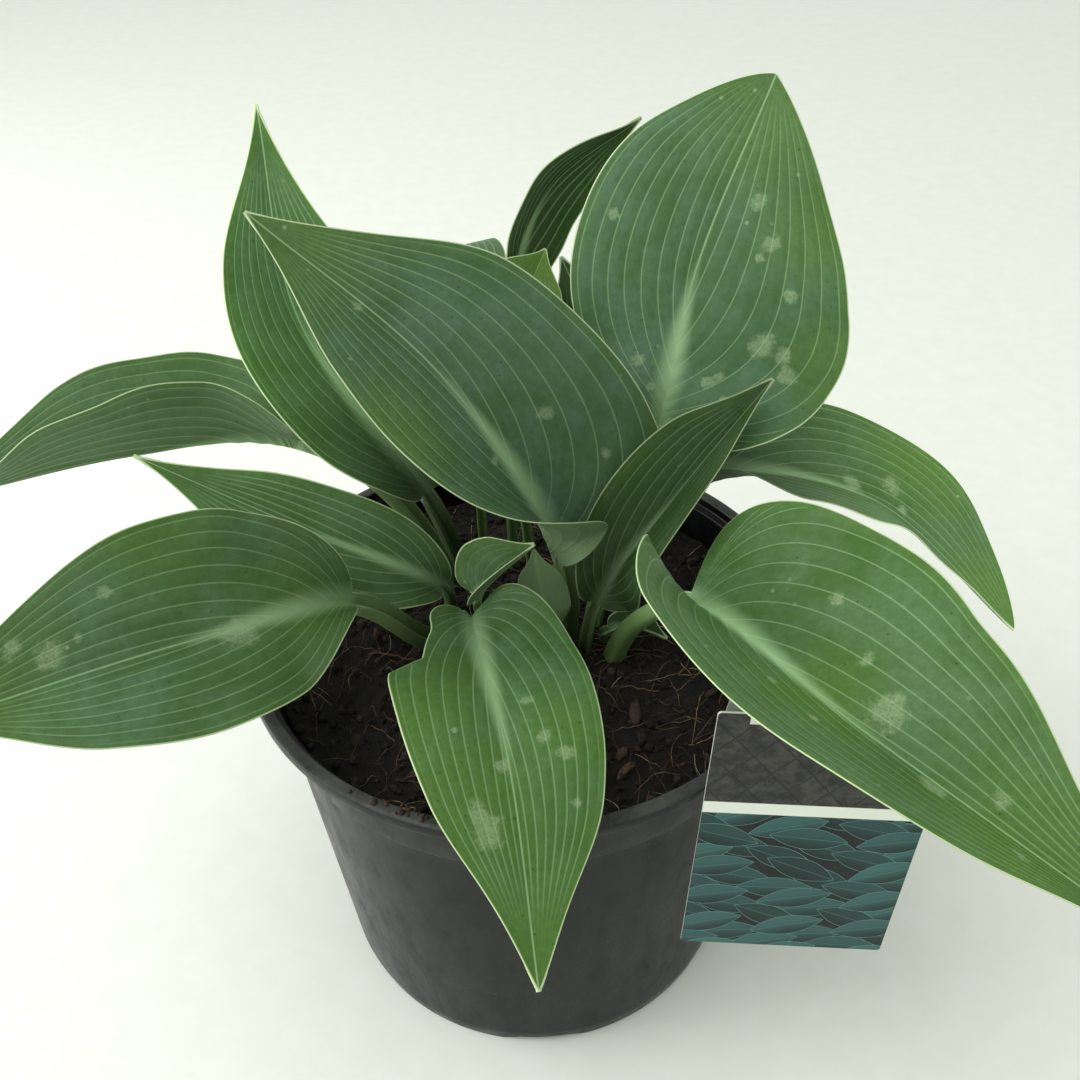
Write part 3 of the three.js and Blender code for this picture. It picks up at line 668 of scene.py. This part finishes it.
def build_leaf(leaf, material):
    stalk_rows = np.linspace(-1, 0, STALK_STEPS, endpoint=False)
    blade_rows = 0.5 - 0.5 * np.cos(np.linspace(0, np.pi, BLADE_STEPS))
    s = np.concatenate([stalk_rows, blade_rows])
    left, right = (int(np.clip(half / COLUMN_WIDTH, *COLUMNS)) for half in leaf.half)
    v = np.concatenate([np.linspace(-1, 0, left + 1), np.linspace(0, 1, right + 1)[1:]])
    grid, half, reach = leaf_grid(leaf, s, v)
    veins = vein_numbers(leaf, s, reach, half)
    rings = leaf_rings(leaf, s, v, grid, veins)
    piece = add_piece(leaf.node.replace("leaf_", "hosta_"), tube(rings), material,
                      [leaf.node])

    margin = (np.where(v < 0, reach[:, :1], reach[:, -1:]) - reach) * half
    marks = all_round(patches(grid, s, v, leaf.stains), patches(grid, s, v, leaf.bare), 0)
    marks[:, len(v) + 1:-1, 2] = leaf.pale_under
    add_attribute(piece, "leaf_place", all_round(s[:, None], v, margin))
    add_attribute(piece, "leaf_veins", all_round(*veins, reach * half / leaf_scale(leaf)))
    add_attribute(piece, "leaf_marks", marks)
    # leaf_look: the tone, partly the leaf's own colour and partly painted light and shade, then the painted
    # shade at the base, then how plain the veins are.
    look = (leaf.tone, leaf.base_shade, leaf.vein_show)
    add_attribute(piece, "leaf_look", np.broadcast_to(look, rings.shape))
    unwrap_rings(piece, *rings.shape[:2])


def unwrap_rings(piece, ring_count, count):
    """A map for baking, with the rings side by side in a square."""
    layer = piece.data.uv_layers.new(name="OFBake")
    corners = np.zeros((len(piece.data.loops), 2))
    i, j = np.divmod(np.arange((ring_count - 1) * count), count)
    left, right = j / count, (j + 1) / count
    low, high = i / ring_count, (i + 1) / ring_count
    square = np.stack([left, low, right, low, right, high, left, high], axis=-1).reshape(-1, 2)
    corners[: len(square)] = square
    corners[len(square):] = (0.5, 0.999)
    layer.data.foreach_set("uv", corners.ravel())


def vein_lines(finish, s, margin, vein_show):
    """How plainly a side vein, and the midrib with the veins bundled in it, show at each point."""
    count, spacing, from_midrib = finish.numbers("leaf_veins")
    nearest = finish.math("MAXIMUM", finish.math("ROUND", count), 1)
    distance = abs(count - nearest) * spacing
    line = distance.step(0.08, 0.38, 1, 0) * spacing.step(0.5, 2) * margin.step(0.9, 2.6)
    line = line * s.step(0.7, 1, 1, 0.35) * vein_show
    thin_rib = from_midrib.step(0.1, 0.42, 0.8, 0)
    bundle = from_midrib / s.step(0, 0.65, 7.4, 0.8)
    bundle = bundle.step(0, 1, 1, 0) * s.step(0.25, 0.62, 1, 0)
    rib = finish.math("MAXIMUM", thin_rib, bundle) * s.step(*BLADE_STARTS)
    return line, rib, count


def lay_blade(finish, slot, cloud, streak, margin, bare):
    """Green under a bluish bloom that is worn off in places, with dark pits and pale specks."""
    bloom, green, worn = LEAF_COLOURS[slot]
    fine = finish.noise(2.2, 5, 0.65)
    finish.colour = finish.mix(green, bloom, (cloud + streak * 0.35).step(0.5, 0.85))
    finish.lay(worn, bare.step(0, 0.9) * 0.75)
    finish.lay(worn, margin.step(0.3, 5, 0.4, 0))
    finish.lay(darker(green, 0.55), fine.step(0.3, 0.75, 0.35, 0))
    pit, chance = finish.cells(3.4)
    pits = pit.step(0.06, 0.14, 0.7, 0) * (cloud + chance * 0.4).step(0.6, 0.8)
    finish.lay(darker(green, 0.4), pits)
    finish.lay(STAIN_COLOUR, finish.specks(9, 0.04, 0.1, 0.4))


def stain_crust(finish, stain):
    """How thickly a dried stain covers each point: ragged patches with a fine grain."""
    wander = finish.noise(5, 4, 0.7) - 0.5
    ragged = finish.noise(1.3, 4, 0.7) - 0.5
    blotch = stain + wander * 1.2 + ragged * 0.5
    grain = finish.noise(0.7, 3, 0.7)
    return blotch.step(0.36, 0.75) * stain.step(0.02, 0.3) * grain.step(0.3, 0.7, 0.18, 0.52)


def leaf_finish(slot):
    finish = Finish(slot)
    s, v, margin = finish.numbers("leaf_place")
    stain, bare, under = finish.numbers("leaf_marks")
    tone, base_shade, vein_show = finish.numbers("leaf_look")
    line, rib, count = vein_lines(finish, s, margin, vein_show)
    cloud = finish.noise(22, 5)
    streak = finish.noise(1, place=finish.combine(count * 1.7, s * 5, v))
    crust = stain_crust(finish, stain)

    lay_blade(finish, slot, cloud, streak, margin, bare)
    finish.lay(VEIN_COLOUR, line * 0.43)
    finish.lay(BUNDLE_COLOUR, rib * 0.68)
    finish.lay(MARGIN_COLOUR, margin.step(0.05, 0.4, 0.7, 0))
    finish.lay(STAIN_COLOUR, crust)
    underside = finish.mix(UNDER_COLOUR, VEIN_COLOUR, line * 0.15)
    finish.lay(underside, under * 0.85)
    stalk = finish.mix(*STALK_COLOURS, s.step(-0.45, 0.02))
    stalk = finish.mix(stalk, darker(STALK_COLOURS[0], 0.6), streak.step(0.45, 0.7, 0, 0.4))
    finish.colour = finish.mix(stalk, finish.colour, s.step(*BLADE_STARTS))
    # Painted light and shade: tone lightens or darkens the whole leaf, partly as its own colour, and
    # base_shade darkens its base as painted shade.
    light = tone * (1 - base_shade * s.step(0, 0.5, 1, 0))
    finish.colour = finish.scaled(finish.colour, light)

    rough = finish.math("MAXIMUM", cloud.step(0.3, 0.7, 0.42, 0.54), crust * 0.9)
    finish.surface.inputs["Subsurface Weight"].default_value = 0.12
    finish.surface.inputs["Subsurface Radius"].default_value = (0.5, 1, 0.25)
    finish.surface.inputs["Subsurface Scale"].default_value = 0.0012
    finish.bump(finish.noise(0.5, 3), 0.05)
    finish.bump(finish.noise(3.5, 3, 0.5), 0.22)
    finish.bump(finish.math("MAXIMUM", line, rib), 0.07)
    finish.bump(crust, 0.05)
    return finish.done(rough, 0.17)


def build_leaves():
    finishes = {slot: leaf_finish(slot) for slot in LEAF_COLOURS}
    for settings in LEAVES:
        leaf = SimpleNamespace(**LEAF_DEFAULTS | settings)
        build_leaf(leaf, finishes[leaf.slot])


# ---- Pot ----

# Pale dust. It is also used for painted light on the top of the lip and for a painted highlight above the
# foot.
DUST_AND_PAINTED_LIGHT_COLOUR = srgb(92, 94, 90)


def inner_radius(z):
    share = (z - FOOT_HEIGHT) / (BAND_BOTTOM - FOOT_HEIGHT)
    above = (z - BAND_BOTTOM) / (LIP_BOTTOM - BAND_BOTTOM)
    if share < 1:
        return lerp(BASE_RADIUS, WALL_TOP_RADIUS, share) - WALL
    return lerp(WALL_TOP_RADIUS, BAND_RADIUS[1], above) - WALL


def pot_profile():
    """(radius, height, rounding) of the corners round the pot's section, from the underside to the inside."""
    lip_inside = RIM_RADIUS - RIM_WIDTH
    floor_bottom = FOOT_HEIGHT - FLOOR_THICKNESS
    return [
        (0, 0, 0),
        (PAD_RADIUS, 0, 0.6),
        (PAD_RADIUS + PAD_SLOPE, floor_bottom, 0.8),
        (FOOT_RADIUS - FOOT_WIDTH - 1, floor_bottom, 0.6),
        (FOOT_RADIUS - FOOT_WIDTH, 0, 0.6),
        (FOOT_RADIUS, 0, 0.8),
        (BASE_RADIUS - 0.5, floor_bottom, 0.8),
        (BASE_RADIUS, FOOT_HEIGHT, 0.8),
        (WALL_TOP_RADIUS, BAND_BOTTOM - 0.8, 0.35),
        (BAND_RADIUS[0], BAND_BOTTOM, 0.45),
        (BAND_RADIUS[1], LIP_BOTTOM, 0.4),
        (RIM_RADIUS - 0.3, LIP_BOTTOM, 0.7),
        (RIM_RADIUS, POT_HEIGHT - 0.5, 1.2),
        (RIM_RADIUS - 1.2, POT_HEIGHT, 1),
        (lip_inside, POT_HEIGHT, 0.9),
        (lip_inside - 0.3, LIP_BOTTOM + 1, 0.8),
        (inner_radius(LIP_BOTTOM), LIP_BOTTOM, 0.6),
        (inner_radius(BAND_BOTTOM), BAND_BOTTOM, 1),
        (inner_radius(FOOT_HEIGHT), FOOT_HEIGHT, 1),
        (PAD_RADIUS + PAD_SLOPE - 1, FOOT_HEIGHT, 0.8),
        (PAD_RADIUS - 1, FLOOR_THICKNESS, 0.8),
        (0, FLOOR_THICKNESS, 0),
    ]


def rounded(corners, longest=7, steps=4, most=0.45):
    """The profile with its corners rounded, over most of a side's length at most, and long sides divided."""
    corners = np.array(corners, float)
    points = [corners[0, :2]]
    for before, corner, after in zip(corners, corners[1:], corners[2:]):
        to_before, to_after = before[:2] - corner[:2], after[:2] - corner[:2]
        radius = min(corner[2], most * np.linalg.norm(to_before), most * np.linalg.norm(to_after))
        start, end = corner[:2] + radius * unit(to_before), corner[:2] + radius * unit(to_after)
        for t in np.linspace(0, 1, steps + 1):
            points.append((1 - t) ** 2 * start + 2 * t * (1 - t) * corner[:2] + t * t * end)
    points.append(corners[-1, :2])
    divided = [points[0]]
    for a, b in zip(points, points[1:]):
        cuts = max(1, int(np.ceil(np.linalg.norm(b - a) / longest)))
        divided += [lerp(a, b, (k + 1) / cuts) for k in range(cuts)]
    return divided


def lathe(profile, segments):
    """A profile turned round Z. It starts and ends on the axis, and its ends are closed."""
    points, faces = tube([circle(r, z, segments) for r, z in profile[1:-1]], caps=False)
    first_end, last_end = len(points), len(points) + 1
    last = len(points) - segments
    for j in range(segments):
        step = (j + 1) % segments
        faces.append((first_end, step, j))
        faces.append((last_end, last + j, last + step))
    return np.vstack([points, (0, 0, profile[0][1]), (0, 0, profile[-1][1])]), faces


def cutters():
    """Round pegs for the drain holes and wedges for the gaps in the foot ring, as one shape."""
    shapes = []
    for k in range(DRAIN_HOLES):
        turn = 2 * np.pi * k / DRAIN_HOLES
        middle = (DRAIN_CIRCLE * np.sin(turn), -DRAIN_CIRCLE * np.cos(turn), 0)
        heights = (FOOT_HEIGHT - 2 * FLOOR_THICKNESS, FOOT_HEIGHT + 1)
        shapes.append(tube([circle(DRAIN_RADIUS, z, DRAIN_SEGMENTS) + middle for z in heights]))
    low, high = FOOT_GAP_WIDTH[0] / 2, FOOT_GAP_WIDTH[1] / 2
    spread = low + (low - high) / FOOT_GAP_HEIGHT
    section = [(-spread, -1), (spread, -1), (high, FOOT_GAP_HEIGHT), (-high, FOOT_GAP_HEIGHT)]
    for k in range(FOOT_GAPS):
        turn = np.array(Matrix.Rotation(2 * np.pi * k / FOOT_GAPS, 3, "Z"))
        ends = (-FOOT_RADIUS + 2 * FOOT_WIDTH, -FOOT_RADIUS - FOOT_WIDTH)
        shapes.append(tube([[turn @ (x, y, z) for x, z in section] for y in ends]))
    return joined(shapes)


def cut(piece, shape):
    """Takes a shape away from a piece."""
    tool = add_object("cutters", new_mesh("cutters", shape))
    modifier = piece.modifiers.new("cut", "BOOLEAN")
    modifier.operation = "DIFFERENCE"
    modifier.solver = "EXACT"
    modifier.object = tool
    evaluated = piece.evaluated_get(bpy.context.evaluated_depsgraph_get())
    piece.data = bpy.data.meshes.new_from_object(evaluated)
    piece.modifiers.clear()
    bpy.data.objects.remove(tool)


def pot_finish():
    """Dark plastic, with dust and painted light along the top of the lip, painted shade on the foot, and a
    painted highlight along the edge just above it.
    """
    finish = Finish("pot")
    cloud = finish.noise(30, 5)
    x, y, z = finish.split(finish.place)
    dust = finish.noise(9, 6, 0.7, finish.combine(x, y, z * 0.4))
    finish.colour = finish.mix(srgb(7, 9, 8), srgb(14, 16, 15), cloud.step(0.35, 0.7))
    finish.lay(srgb(90, 92, 86), dust.step(0.5, 0.85, 0, 0.06))
    # Dust and painted light: the top of the lip is paler, partly as dust and partly as painted light falling
    # from above.
    lip_dust_and_painted_light = z.step(POT_HEIGHT - 1.2, POT_HEIGHT - 0.1) * dust.step(0.3, 0.7, 0.35, 0.75)
    finish.lay(DUST_AND_PAINTED_LIGHT_COLOUR, lip_dust_and_painted_light)
    # Painted shade: the foot below the wall's base is darkened.
    above_foot = z.step(FOOT_HEIGHT - 0.6, FOOT_HEIGHT + 0.4, 0.15, 1)
    finish.colour = finish.mix(srgb(4, 5, 5), finish.colour, above_foot)
    # Painted highlight: a pale line along the edge just above the foot.
    from_edge = abs(z - (FOOT_HEIGHT + 0.9))
    finish.lay(DUST_AND_PAINTED_LIGHT_COLOUR, from_edge.step(0.2, 0.7, 0.3, 0))
    finish.lay(srgb(116, 112, 100), finish.specks(7, 0.03, 0.07, 0.6))
    finish.bump(finish.noise(1.2, 5, 0.7), 0.03)
    finish.bump(cloud, 0.2, 0.6)
    return finish.done(dust.step(0.35, 0.75, 0.27, 0.44), 0.15)


def build_pot():
    pot = add_piece("nursery_pot", lathe(rounded(pot_profile()), POT_SEGMENTS), pot_finish(), ["pot"])
    cut(pot, cutters())
    pot.data.set_sharp_from_angle(angle=np.radians(50))


# ---- Soil ----

SOIL_RADIUS = inner_radius(SOIL_LEVEL) - CLEARANCE


def soil_waves():
    """Directions and shifts of the waves that make the soil lumpy, the same as the frame's."""
    state, numbers = SOIL_SEED, []
    for _ in range(3 * SOIL_WAVE_COUNT):
        state = state * 16807 % 2147483647
        numbers.append(state / 2147483647)
    angle, pitch, shift = np.reshape(numbers, (-1, 3)).T
    pitch = lerp(*SOIL_WAVE_PITCH, pitch)
    turn = 2 * np.pi
    return np.stack([np.cos(angle * turn) / pitch, np.sin(angle * turn) / pitch, shift * turn], axis=-1)


SOIL_WAVES = soil_waves()


def soil_height(x, y):
    share = np.minimum(1, np.hypot(x, y) / SOIL_RADIUS)
    lump = sum(np.sin(a * x + b * y + shift) for a, b, shift in SOIL_WAVES) / 5
    return SOIL_LEVEL + SOIL_DOME * (1 - share ** 2) + SOIL_LUMP * (1 - share ** 6) * lump


def crumbly(x, y):
    """Fine relief of the soil in millimetres."""
    coarse = noise.fractal(Vector((x / 4, y / 4, 0)), 0.7, 2.1, 5)
    return 1.1 * coarse + 0.5 * noise.noise(Vector((x, y, 3)))


def on_soil(x, y, lift=0):
    """Places on the soil's surface, or lift above it."""
    ground = soil_height(x, y) + np.array([crumbly(p, q) for p, q in zip(x, y)])
    return np.stack([x, y, ground + lift], axis=-1)


def build_soil_bed(material):
    rings = [circle(inner_radius(FOOT_HEIGHT) - CLEARANCE, FOOT_HEIGHT + CLEARANCE, BED_SEGMENTS),
             circle(inner_radius(BAND_BOTTOM) - CLEARANCE, BAND_BOTTOM, BED_SEGMENTS)]
    for share in np.linspace(1, 0.004, BED_RINGS):
        x, y, _ = circle(SOIL_RADIUS * share, 0, BED_SEGMENTS).T
        rings.append(on_soil(x, y))
    add_piece("soil_bed", tube(rings), material, ["soil"])


def unit_ball():
    """A small round ball of triangles."""
    ball = bmesh.new()
    bmesh.ops.create_icosphere(ball, subdivisions=2, radius=1)
    points = np.array([vertex.co for vertex in ball.verts])
    faces = [tuple(vertex.index for vertex in face.verts) for face in ball.faces]
    ball.free()
    return points, faces


def random_turn(random):
    """A random turn as a 3 by 3 matrix."""
    turn, _ = np.linalg.qr(random.normal(size=(3, 3)))
    return turn * np.sign(np.linalg.det(turn))


def scatter(random, count, reach=LITTER_REACH):
    """Random places on the soil."""
    radius = SOIL_RADIUS * reach * np.sqrt(random.uniform(size=count))
    angle = random.uniform(0, 2 * np.pi, count)
    return radius * np.cos(angle), radius * np.sin(angle)


def on_lip(random, count):
    """Places on top of the lip where some soil has spilt."""
    angle = np.arctan2(*reversed(SPILL_AT)) + random.normal(0, SPILL_SPREAD / RIM_RADIUS, count)
    radius = RIM_RADIUS - RIM_WIDTH * random.uniform(0.35, 1.15, count)
    height = np.full(count, POT_HEIGHT + 0.2)
    return np.stack([radius * np.cos(angle), radius * np.sin(angle), height], axis=-1)


def add_litter(random, name, shapes, dark, pale, streak):
    """Many small shapes as one piece. Each has a random number for its colour."""
    piece = add_piece(name, joined(shapes), litter_finish(name, dark, pale, streak))
    tints = np.repeat(random.uniform(size=len(shapes)), [len(points) for points, _ in shapes])
    add_attribute(piece, "piece_tint", np.stack([tints] * 3, axis=-1))


def lumps(random, ball, places, sizes, flat=(1, 1, 1)):
    """Small irregular lumps."""
    ball_points, ball_faces = ball
    shapes = []
    for place, size in zip(places, sizes):
        shape = size * np.array(flat) * random.uniform(0.6, 1.3, 3)
        bumps = 1 + random.uniform(-0.22, 0.22, (len(ball_points), 1))
        shapes.append(((ball_points * bumps * shape) @ random_turn(random).T + place, ball_faces))
    return shapes


def thread(path, radius):
    """A thin tube along a path, tapered at both ends."""
    ahead = unit(np.gradient(path, axis=0))
    side = unit(np.cross(ahead, (0.12, 0.35, 0.93)))
    up = np.cross(side, ahead)
    taper = 1 - 0.8 * np.abs(np.linspace(-1, 1, len(path))) ** 4
    lines = [path + taper[:, None] * (side * x + up * y) for x, y, _ in circle(radius, 0, THREAD_SIDES)]
    return tube(np.stack(lines, axis=1))


def wandering(random, x, y, length, steps, curl, lift):
    """A path over the soil that wanders, and rises from it in the middle by lift."""
    heading = random.uniform(0, 2 * np.pi)
    turn = random.normal(0, curl)
    headings = heading + turn * np.linspace(0, 1, steps) + np.cumsum(random.normal(0, 0.11, steps))
    step = length / steps
    xs, ys = x + np.cumsum(np.cos(headings)) * step, y + np.cumsum(np.sin(headings)) * step
    shrink = np.minimum(1, SOIL_RADIUS * LITTER_REACH / np.maximum(1, np.hypot(xs, ys)))
    arch = np.sin(np.linspace(0, np.pi, steps)) * lift
    return on_soil(xs * shrink, ys * shrink, arch - 0.2)


def threads(random, count, reach, length, steps, curl, lift, radius):
    """Fibres or roots lying over the soil."""
    starts = zip(*scatter(random, count, reach))
    paths = [wandering(random, x, y, random.uniform(*length), steps, curl, random.uniform(*lift))
             for x, y in starts]
    return [thread(path, size) for path, size in zip(paths, random.uniform(*radius, count))]


def soil_finish():
    finish = Finish("soil_bed")
    fine = finish.noise(0.9, 6, 0.75)
    finish.colour = finish.mix(srgb(23, 20, 17), srgb(54, 44, 35), fine.step(0.45, 0.75, 0, 0.8))
    finish.lay(srgb(60, 44, 32), finish.noise(9).step(0.55, 0.8, 0, 0.3))
    finish.bump(fine, 0.6)
    return finish.done(fine.step(0.3, 0.7, 0.7, 0.95), 0.3)


def litter_finish(name, dark, pale, size):
    """Crumbs, fibres or bark between two colours, with streaks of a size."""
    finish = Finish(name)
    tint = finish.numbers("piece_tint")[0]
    grain = finish.noise(size, 4, 0.7)
    finish.colour = finish.mix(dark, pale, finish.math("POWER", tint, 2.2))
    finish.lay(dark, grain.step(0.4, 0.65, 0, 0.7))
    finish.bump(grain, 0.15)
    return finish.done(grain.step(0.3, 0.7, 0.65, 0.9), 0.3)


def build_soil():
    random = np.random.default_rng(SOIL_SEED)
    build_soil_bed(soil_finish())
    ball = unit_ball()

    sizes = lerp(*CRUMB_SIZE, random.uniform(size=CRUMBS) ** 3)
    crumbs = lumps(random, ball, on_soil(*scatter(random, CRUMBS), sizes * 0.3), sizes)
    add_litter(random, "soil_crumbs", crumbs, srgb(22, 19, 16), srgb(66, 53, 42), 0.8)

    sizes = random.uniform(*CHIP_SIZE, CHIPS)
    sizes[0] = BIG_CHIP_SIZE
    xs, ys = scatter(random, CHIPS)
    xs[0], ys[0] = BIG_CHIP_AT
    chips = lumps(random, ball, on_soil(xs, ys, 0.5), sizes, (1, 0.55, 0.28))
    add_litter(random, "bark_chips", chips, srgb(44, 35, 28), srgb(100, 80, 62), 1.2)

    spilt = lumps(random, ball, on_lip(random, SPILL), random.uniform(*SPILL_SIZE, SPILL))
    add_litter(random, "spilt_soil", spilt, srgb(42, 32, 25), srgb(100, 74, 54), 0.8)
    add_litter(random, "soil_fibres", threads(random, **FIBRES), srgb(64, 51, 39), srgb(196, 170, 132), 2)
    add_litter(random, "rootlets", threads(random, **ROOTLETS), srgb(74, 56, 40), srgb(150, 124, 94), 3)


# ---- Label ----

def place_on_card(points):
    """From the card's own millimetres to its place on the pot."""
    lean = Matrix.Rotation(np.radians(CARD_LEAN), 3, "Y")
    turn = Matrix.Rotation(np.radians(-CARD_TURN), 3, "Z")
    return points @ np.array(turn @ lean).T + CARD_AT


def card_rings():
    """Rings of a card with rounded corners and edges, stacked from its front to its back."""
    width, thickness, height = CARD_SIZE
    rings = []
    for depth, inset in CARD_LAYERS:
        radius = CARD_CORNER_RADIUS - inset * CARD_EDGE_RADIUS
        ring = []
        for k, (x, z) in enumerate(((width, 0), (width, height), (0, height), (0, 0))):
            x, z = abs(x - CARD_CORNER_RADIUS), abs(z - CARD_CORNER_RADIUS)
            for angle in np.linspace(k - 1, k, 7) * np.pi / 2:
                ring.append((x + radius * np.cos(angle), depth * thickness / 2, z + radius * np.sin(angle)))
        rings.append(ring)
    return np.array(rings)


def strap_rings():
    path = [(STRAP_ACROSS, back, CARD_SIZE[2] + up) for up, back in STRAP_PATH]
    where, ahead = smooth_path(path, np.linspace(0, 1, STRAP_STEPS))
    across = np.array((STRAP_WIDTH / 2, 0, 0))
    out = np.cross(ahead, (1, 0, 0)) * -(CARD_SIZE[1] / 2)
    return np.stack([where - across - out, where + across - out, where + across + out, where - across + out],
                    axis=1)


def seams(finish, x, z):
    """How plainly a grid of diagonal seams shows at each point."""
    lines = []
    for sign in (1, -1):
        diagonal = finish.math("FRACT", x * SEAM_PITCH[0] + z * (SEAM_PITCH[1] * sign))
        lines.append(abs(diagonal - 0.5).step(0, 0.06, 1, 0))
    return finish.math("MAXIMUM", *lines)


def lay_printed_leaves(finish, x, z):
    """Plain pointed leaves scattered in layers over a dark ground, each leaning its own way."""
    finish.colour = finish.mix(srgb(12, 18, 18), srgb(24, 36, 35), finish.noise(3).step(0.4, 0.7))
    half_length, half_width = MOTIF_HALF
    for layer, (shift_x, shift_z) in enumerate(MOTIF_SHIFTS):
        column, row = x / MOTIF_CELL[0] + shift_x, z / MOTIF_CELL[1] + shift_z
        cell = finish.combine(finish.math("FLOOR", column), finish.math("FLOOR", row), float(layer))
        chance = finish.add("TexWhiteNoise", {"Vector": cell})
        lean = chance.step(0, 1, -0.42, 0.42)
        sine, cosine = finish.math("SINE", lean), finish.math("COSINE", lean)
        across = (finish.math("FRACT", column) - 0.5) * MOTIF_CELL[0]
        up = (finish.math("FRACT", row) - 0.5) * MOTIF_CELL[1]
        share = (across * cosine + up * sine) / half_length
        aside = up * cosine - across * sine
        inside = (1 - share * share) * half_width - abs(aside)
        tone = finish.mix(srgb(22, 50, 49), srgb(58, 104, 101), chance)
        tone = finish.mix(tone, srgb(12, 32, 31), aside.step(-half_width, half_width / 2, 0.9, 0))
        tone = finish.mix(tone, srgb(88, 134, 130), abs(aside).step(0.05, 0.25, 0.4, 0))
        tone = finish.mix(srgb(100, 146, 142), tone, inside.step(0.1, 0.35))
        finish.lay(tone, inside.step(0, 0.12))


def label_finish():
    """Printed leaves below, a bare strip, and dark quilting above; the edges and the back are plain."""
    finish = Finish("plant_label")
    x, z, front = finish.numbers("card_place")
    mottle = finish.noise(5, 6, 0.7)
    slate = finish.mix(srgb(38, 38, 36), srgb(74, 73, 69), mottle.step(0.35, 0.7))
    slate = finish.mix(slate, srgb(22, 22, 21), seams(finish, x, z) * 0.7)
    lay_printed_leaves(finish, x, z)
    for above, height in zip((srgb(234, 239, 228), slate), PRINT_BAND):
        finish.lay(above, z.step(height - 0.05, height + 0.05))
    finish.colour = finish.mix(srgb(214, 216, 208), finish.colour, front)
    finish.bump(finish.noise(12, 2, 0.5), 0.15)
    return finish.done(mottle.step(0.3, 0.7, 0.3, 0.42), 0.2)


def build_label():
    card = card_rings()
    points, faces = joined([tube(card), tube(strap_rings())])
    piece = add_piece("plant_card", (place_on_card(points), faces), label_finish(), ["plant_label"])
    front = np.zeros(len(points))
    front[: card.shape[1] * 2] = 1
    add_attribute(piece, "card_place", np.stack([points[:, 0], points[:, 2], front], axis=-1))
    piece.data.set_sharp_from_angle(angle=np.radians(40))


# ---- Floor, lights and camera ----

def build_floor():
    bpy.ops.mesh.primitive_plane_add(size=30)
    floor = bpy.context.object
    floor.name = "floor"
    finish = Finish("floor")
    tone = finish.noise(14)
    finish.colour = finish.mix(srgb(237, 240, 231), srgb(240, 243, 235), tone.step(0.3, 0.7))
    floor.data.materials.append(finish.done(tone.step(0.3, 0.7, 0.6, 0.66), 0.2))


def add_light(name, place, target, size, power, colour):
    light = bpy.data.lights.new(name, "AREA")
    light.size = size
    light.energy = power
    light.color = colour
    lamp = add_object(name, light)
    lamp.location = place
    lamp.rotation_euler = (Vector(target) - Vector(place)).to_track_quat("-Z", "Y").to_euler()


def build_lights():
    world = bpy.data.worlds.new("studio")
    bpy.context.scene.world = world
    world.use_nodes = True
    background = world.node_tree.nodes["Background"]
    background.inputs["Color"].default_value = (0.97, 1, 0.96, 1)
    background.inputs["Strength"].default_value = 0.74
    add_light("key", (-0.7, -0.5, 1.9), (0, 0, 0.15), 1.5, 15, (1, 0.995, 0.98))
    add_light("side", (-1.3, 0.1, 0.35), (0, 0, 0.1), 0.9, 16, (1, 1, 1))
    bpy.context.scene.view_settings.view_transform = "Standard"


def build_camera():
    pitch, yaw, roll = np.radians((CAMERA_PITCH, CAMERA_YAW, CAMERA_ROLL))
    ahead = Vector((np.sin(yaw) * np.cos(pitch), np.cos(yaw) * np.cos(pitch), -np.sin(pitch)))
    level = Vector((np.cos(yaw), -np.sin(yaw), 0))
    above = level.cross(ahead)
    right = level * np.cos(roll) + above * np.sin(roll)
    up = above * np.cos(roll) - level * np.sin(roll)
    camera = bpy.data.cameras.new("camera")
    camera.sensor_width = SENSOR
    camera.lens = SENSOR * FOCAL_PIXELS / PHOTO_PIXELS
    camera.clip_start = 0.01
    holder = add_object("camera", camera)
    turn = Matrix((right, up, -ahead)).transposed().to_4x4()
    holder.matrix_world = Matrix.Translation(Vector(CAMERA_AT) * MM) @ turn
    bpy.context.scene.camera = holder


build_camera()
build_lights()
build_floor()
build_pot()
build_soil()
build_leaves()
build_label()
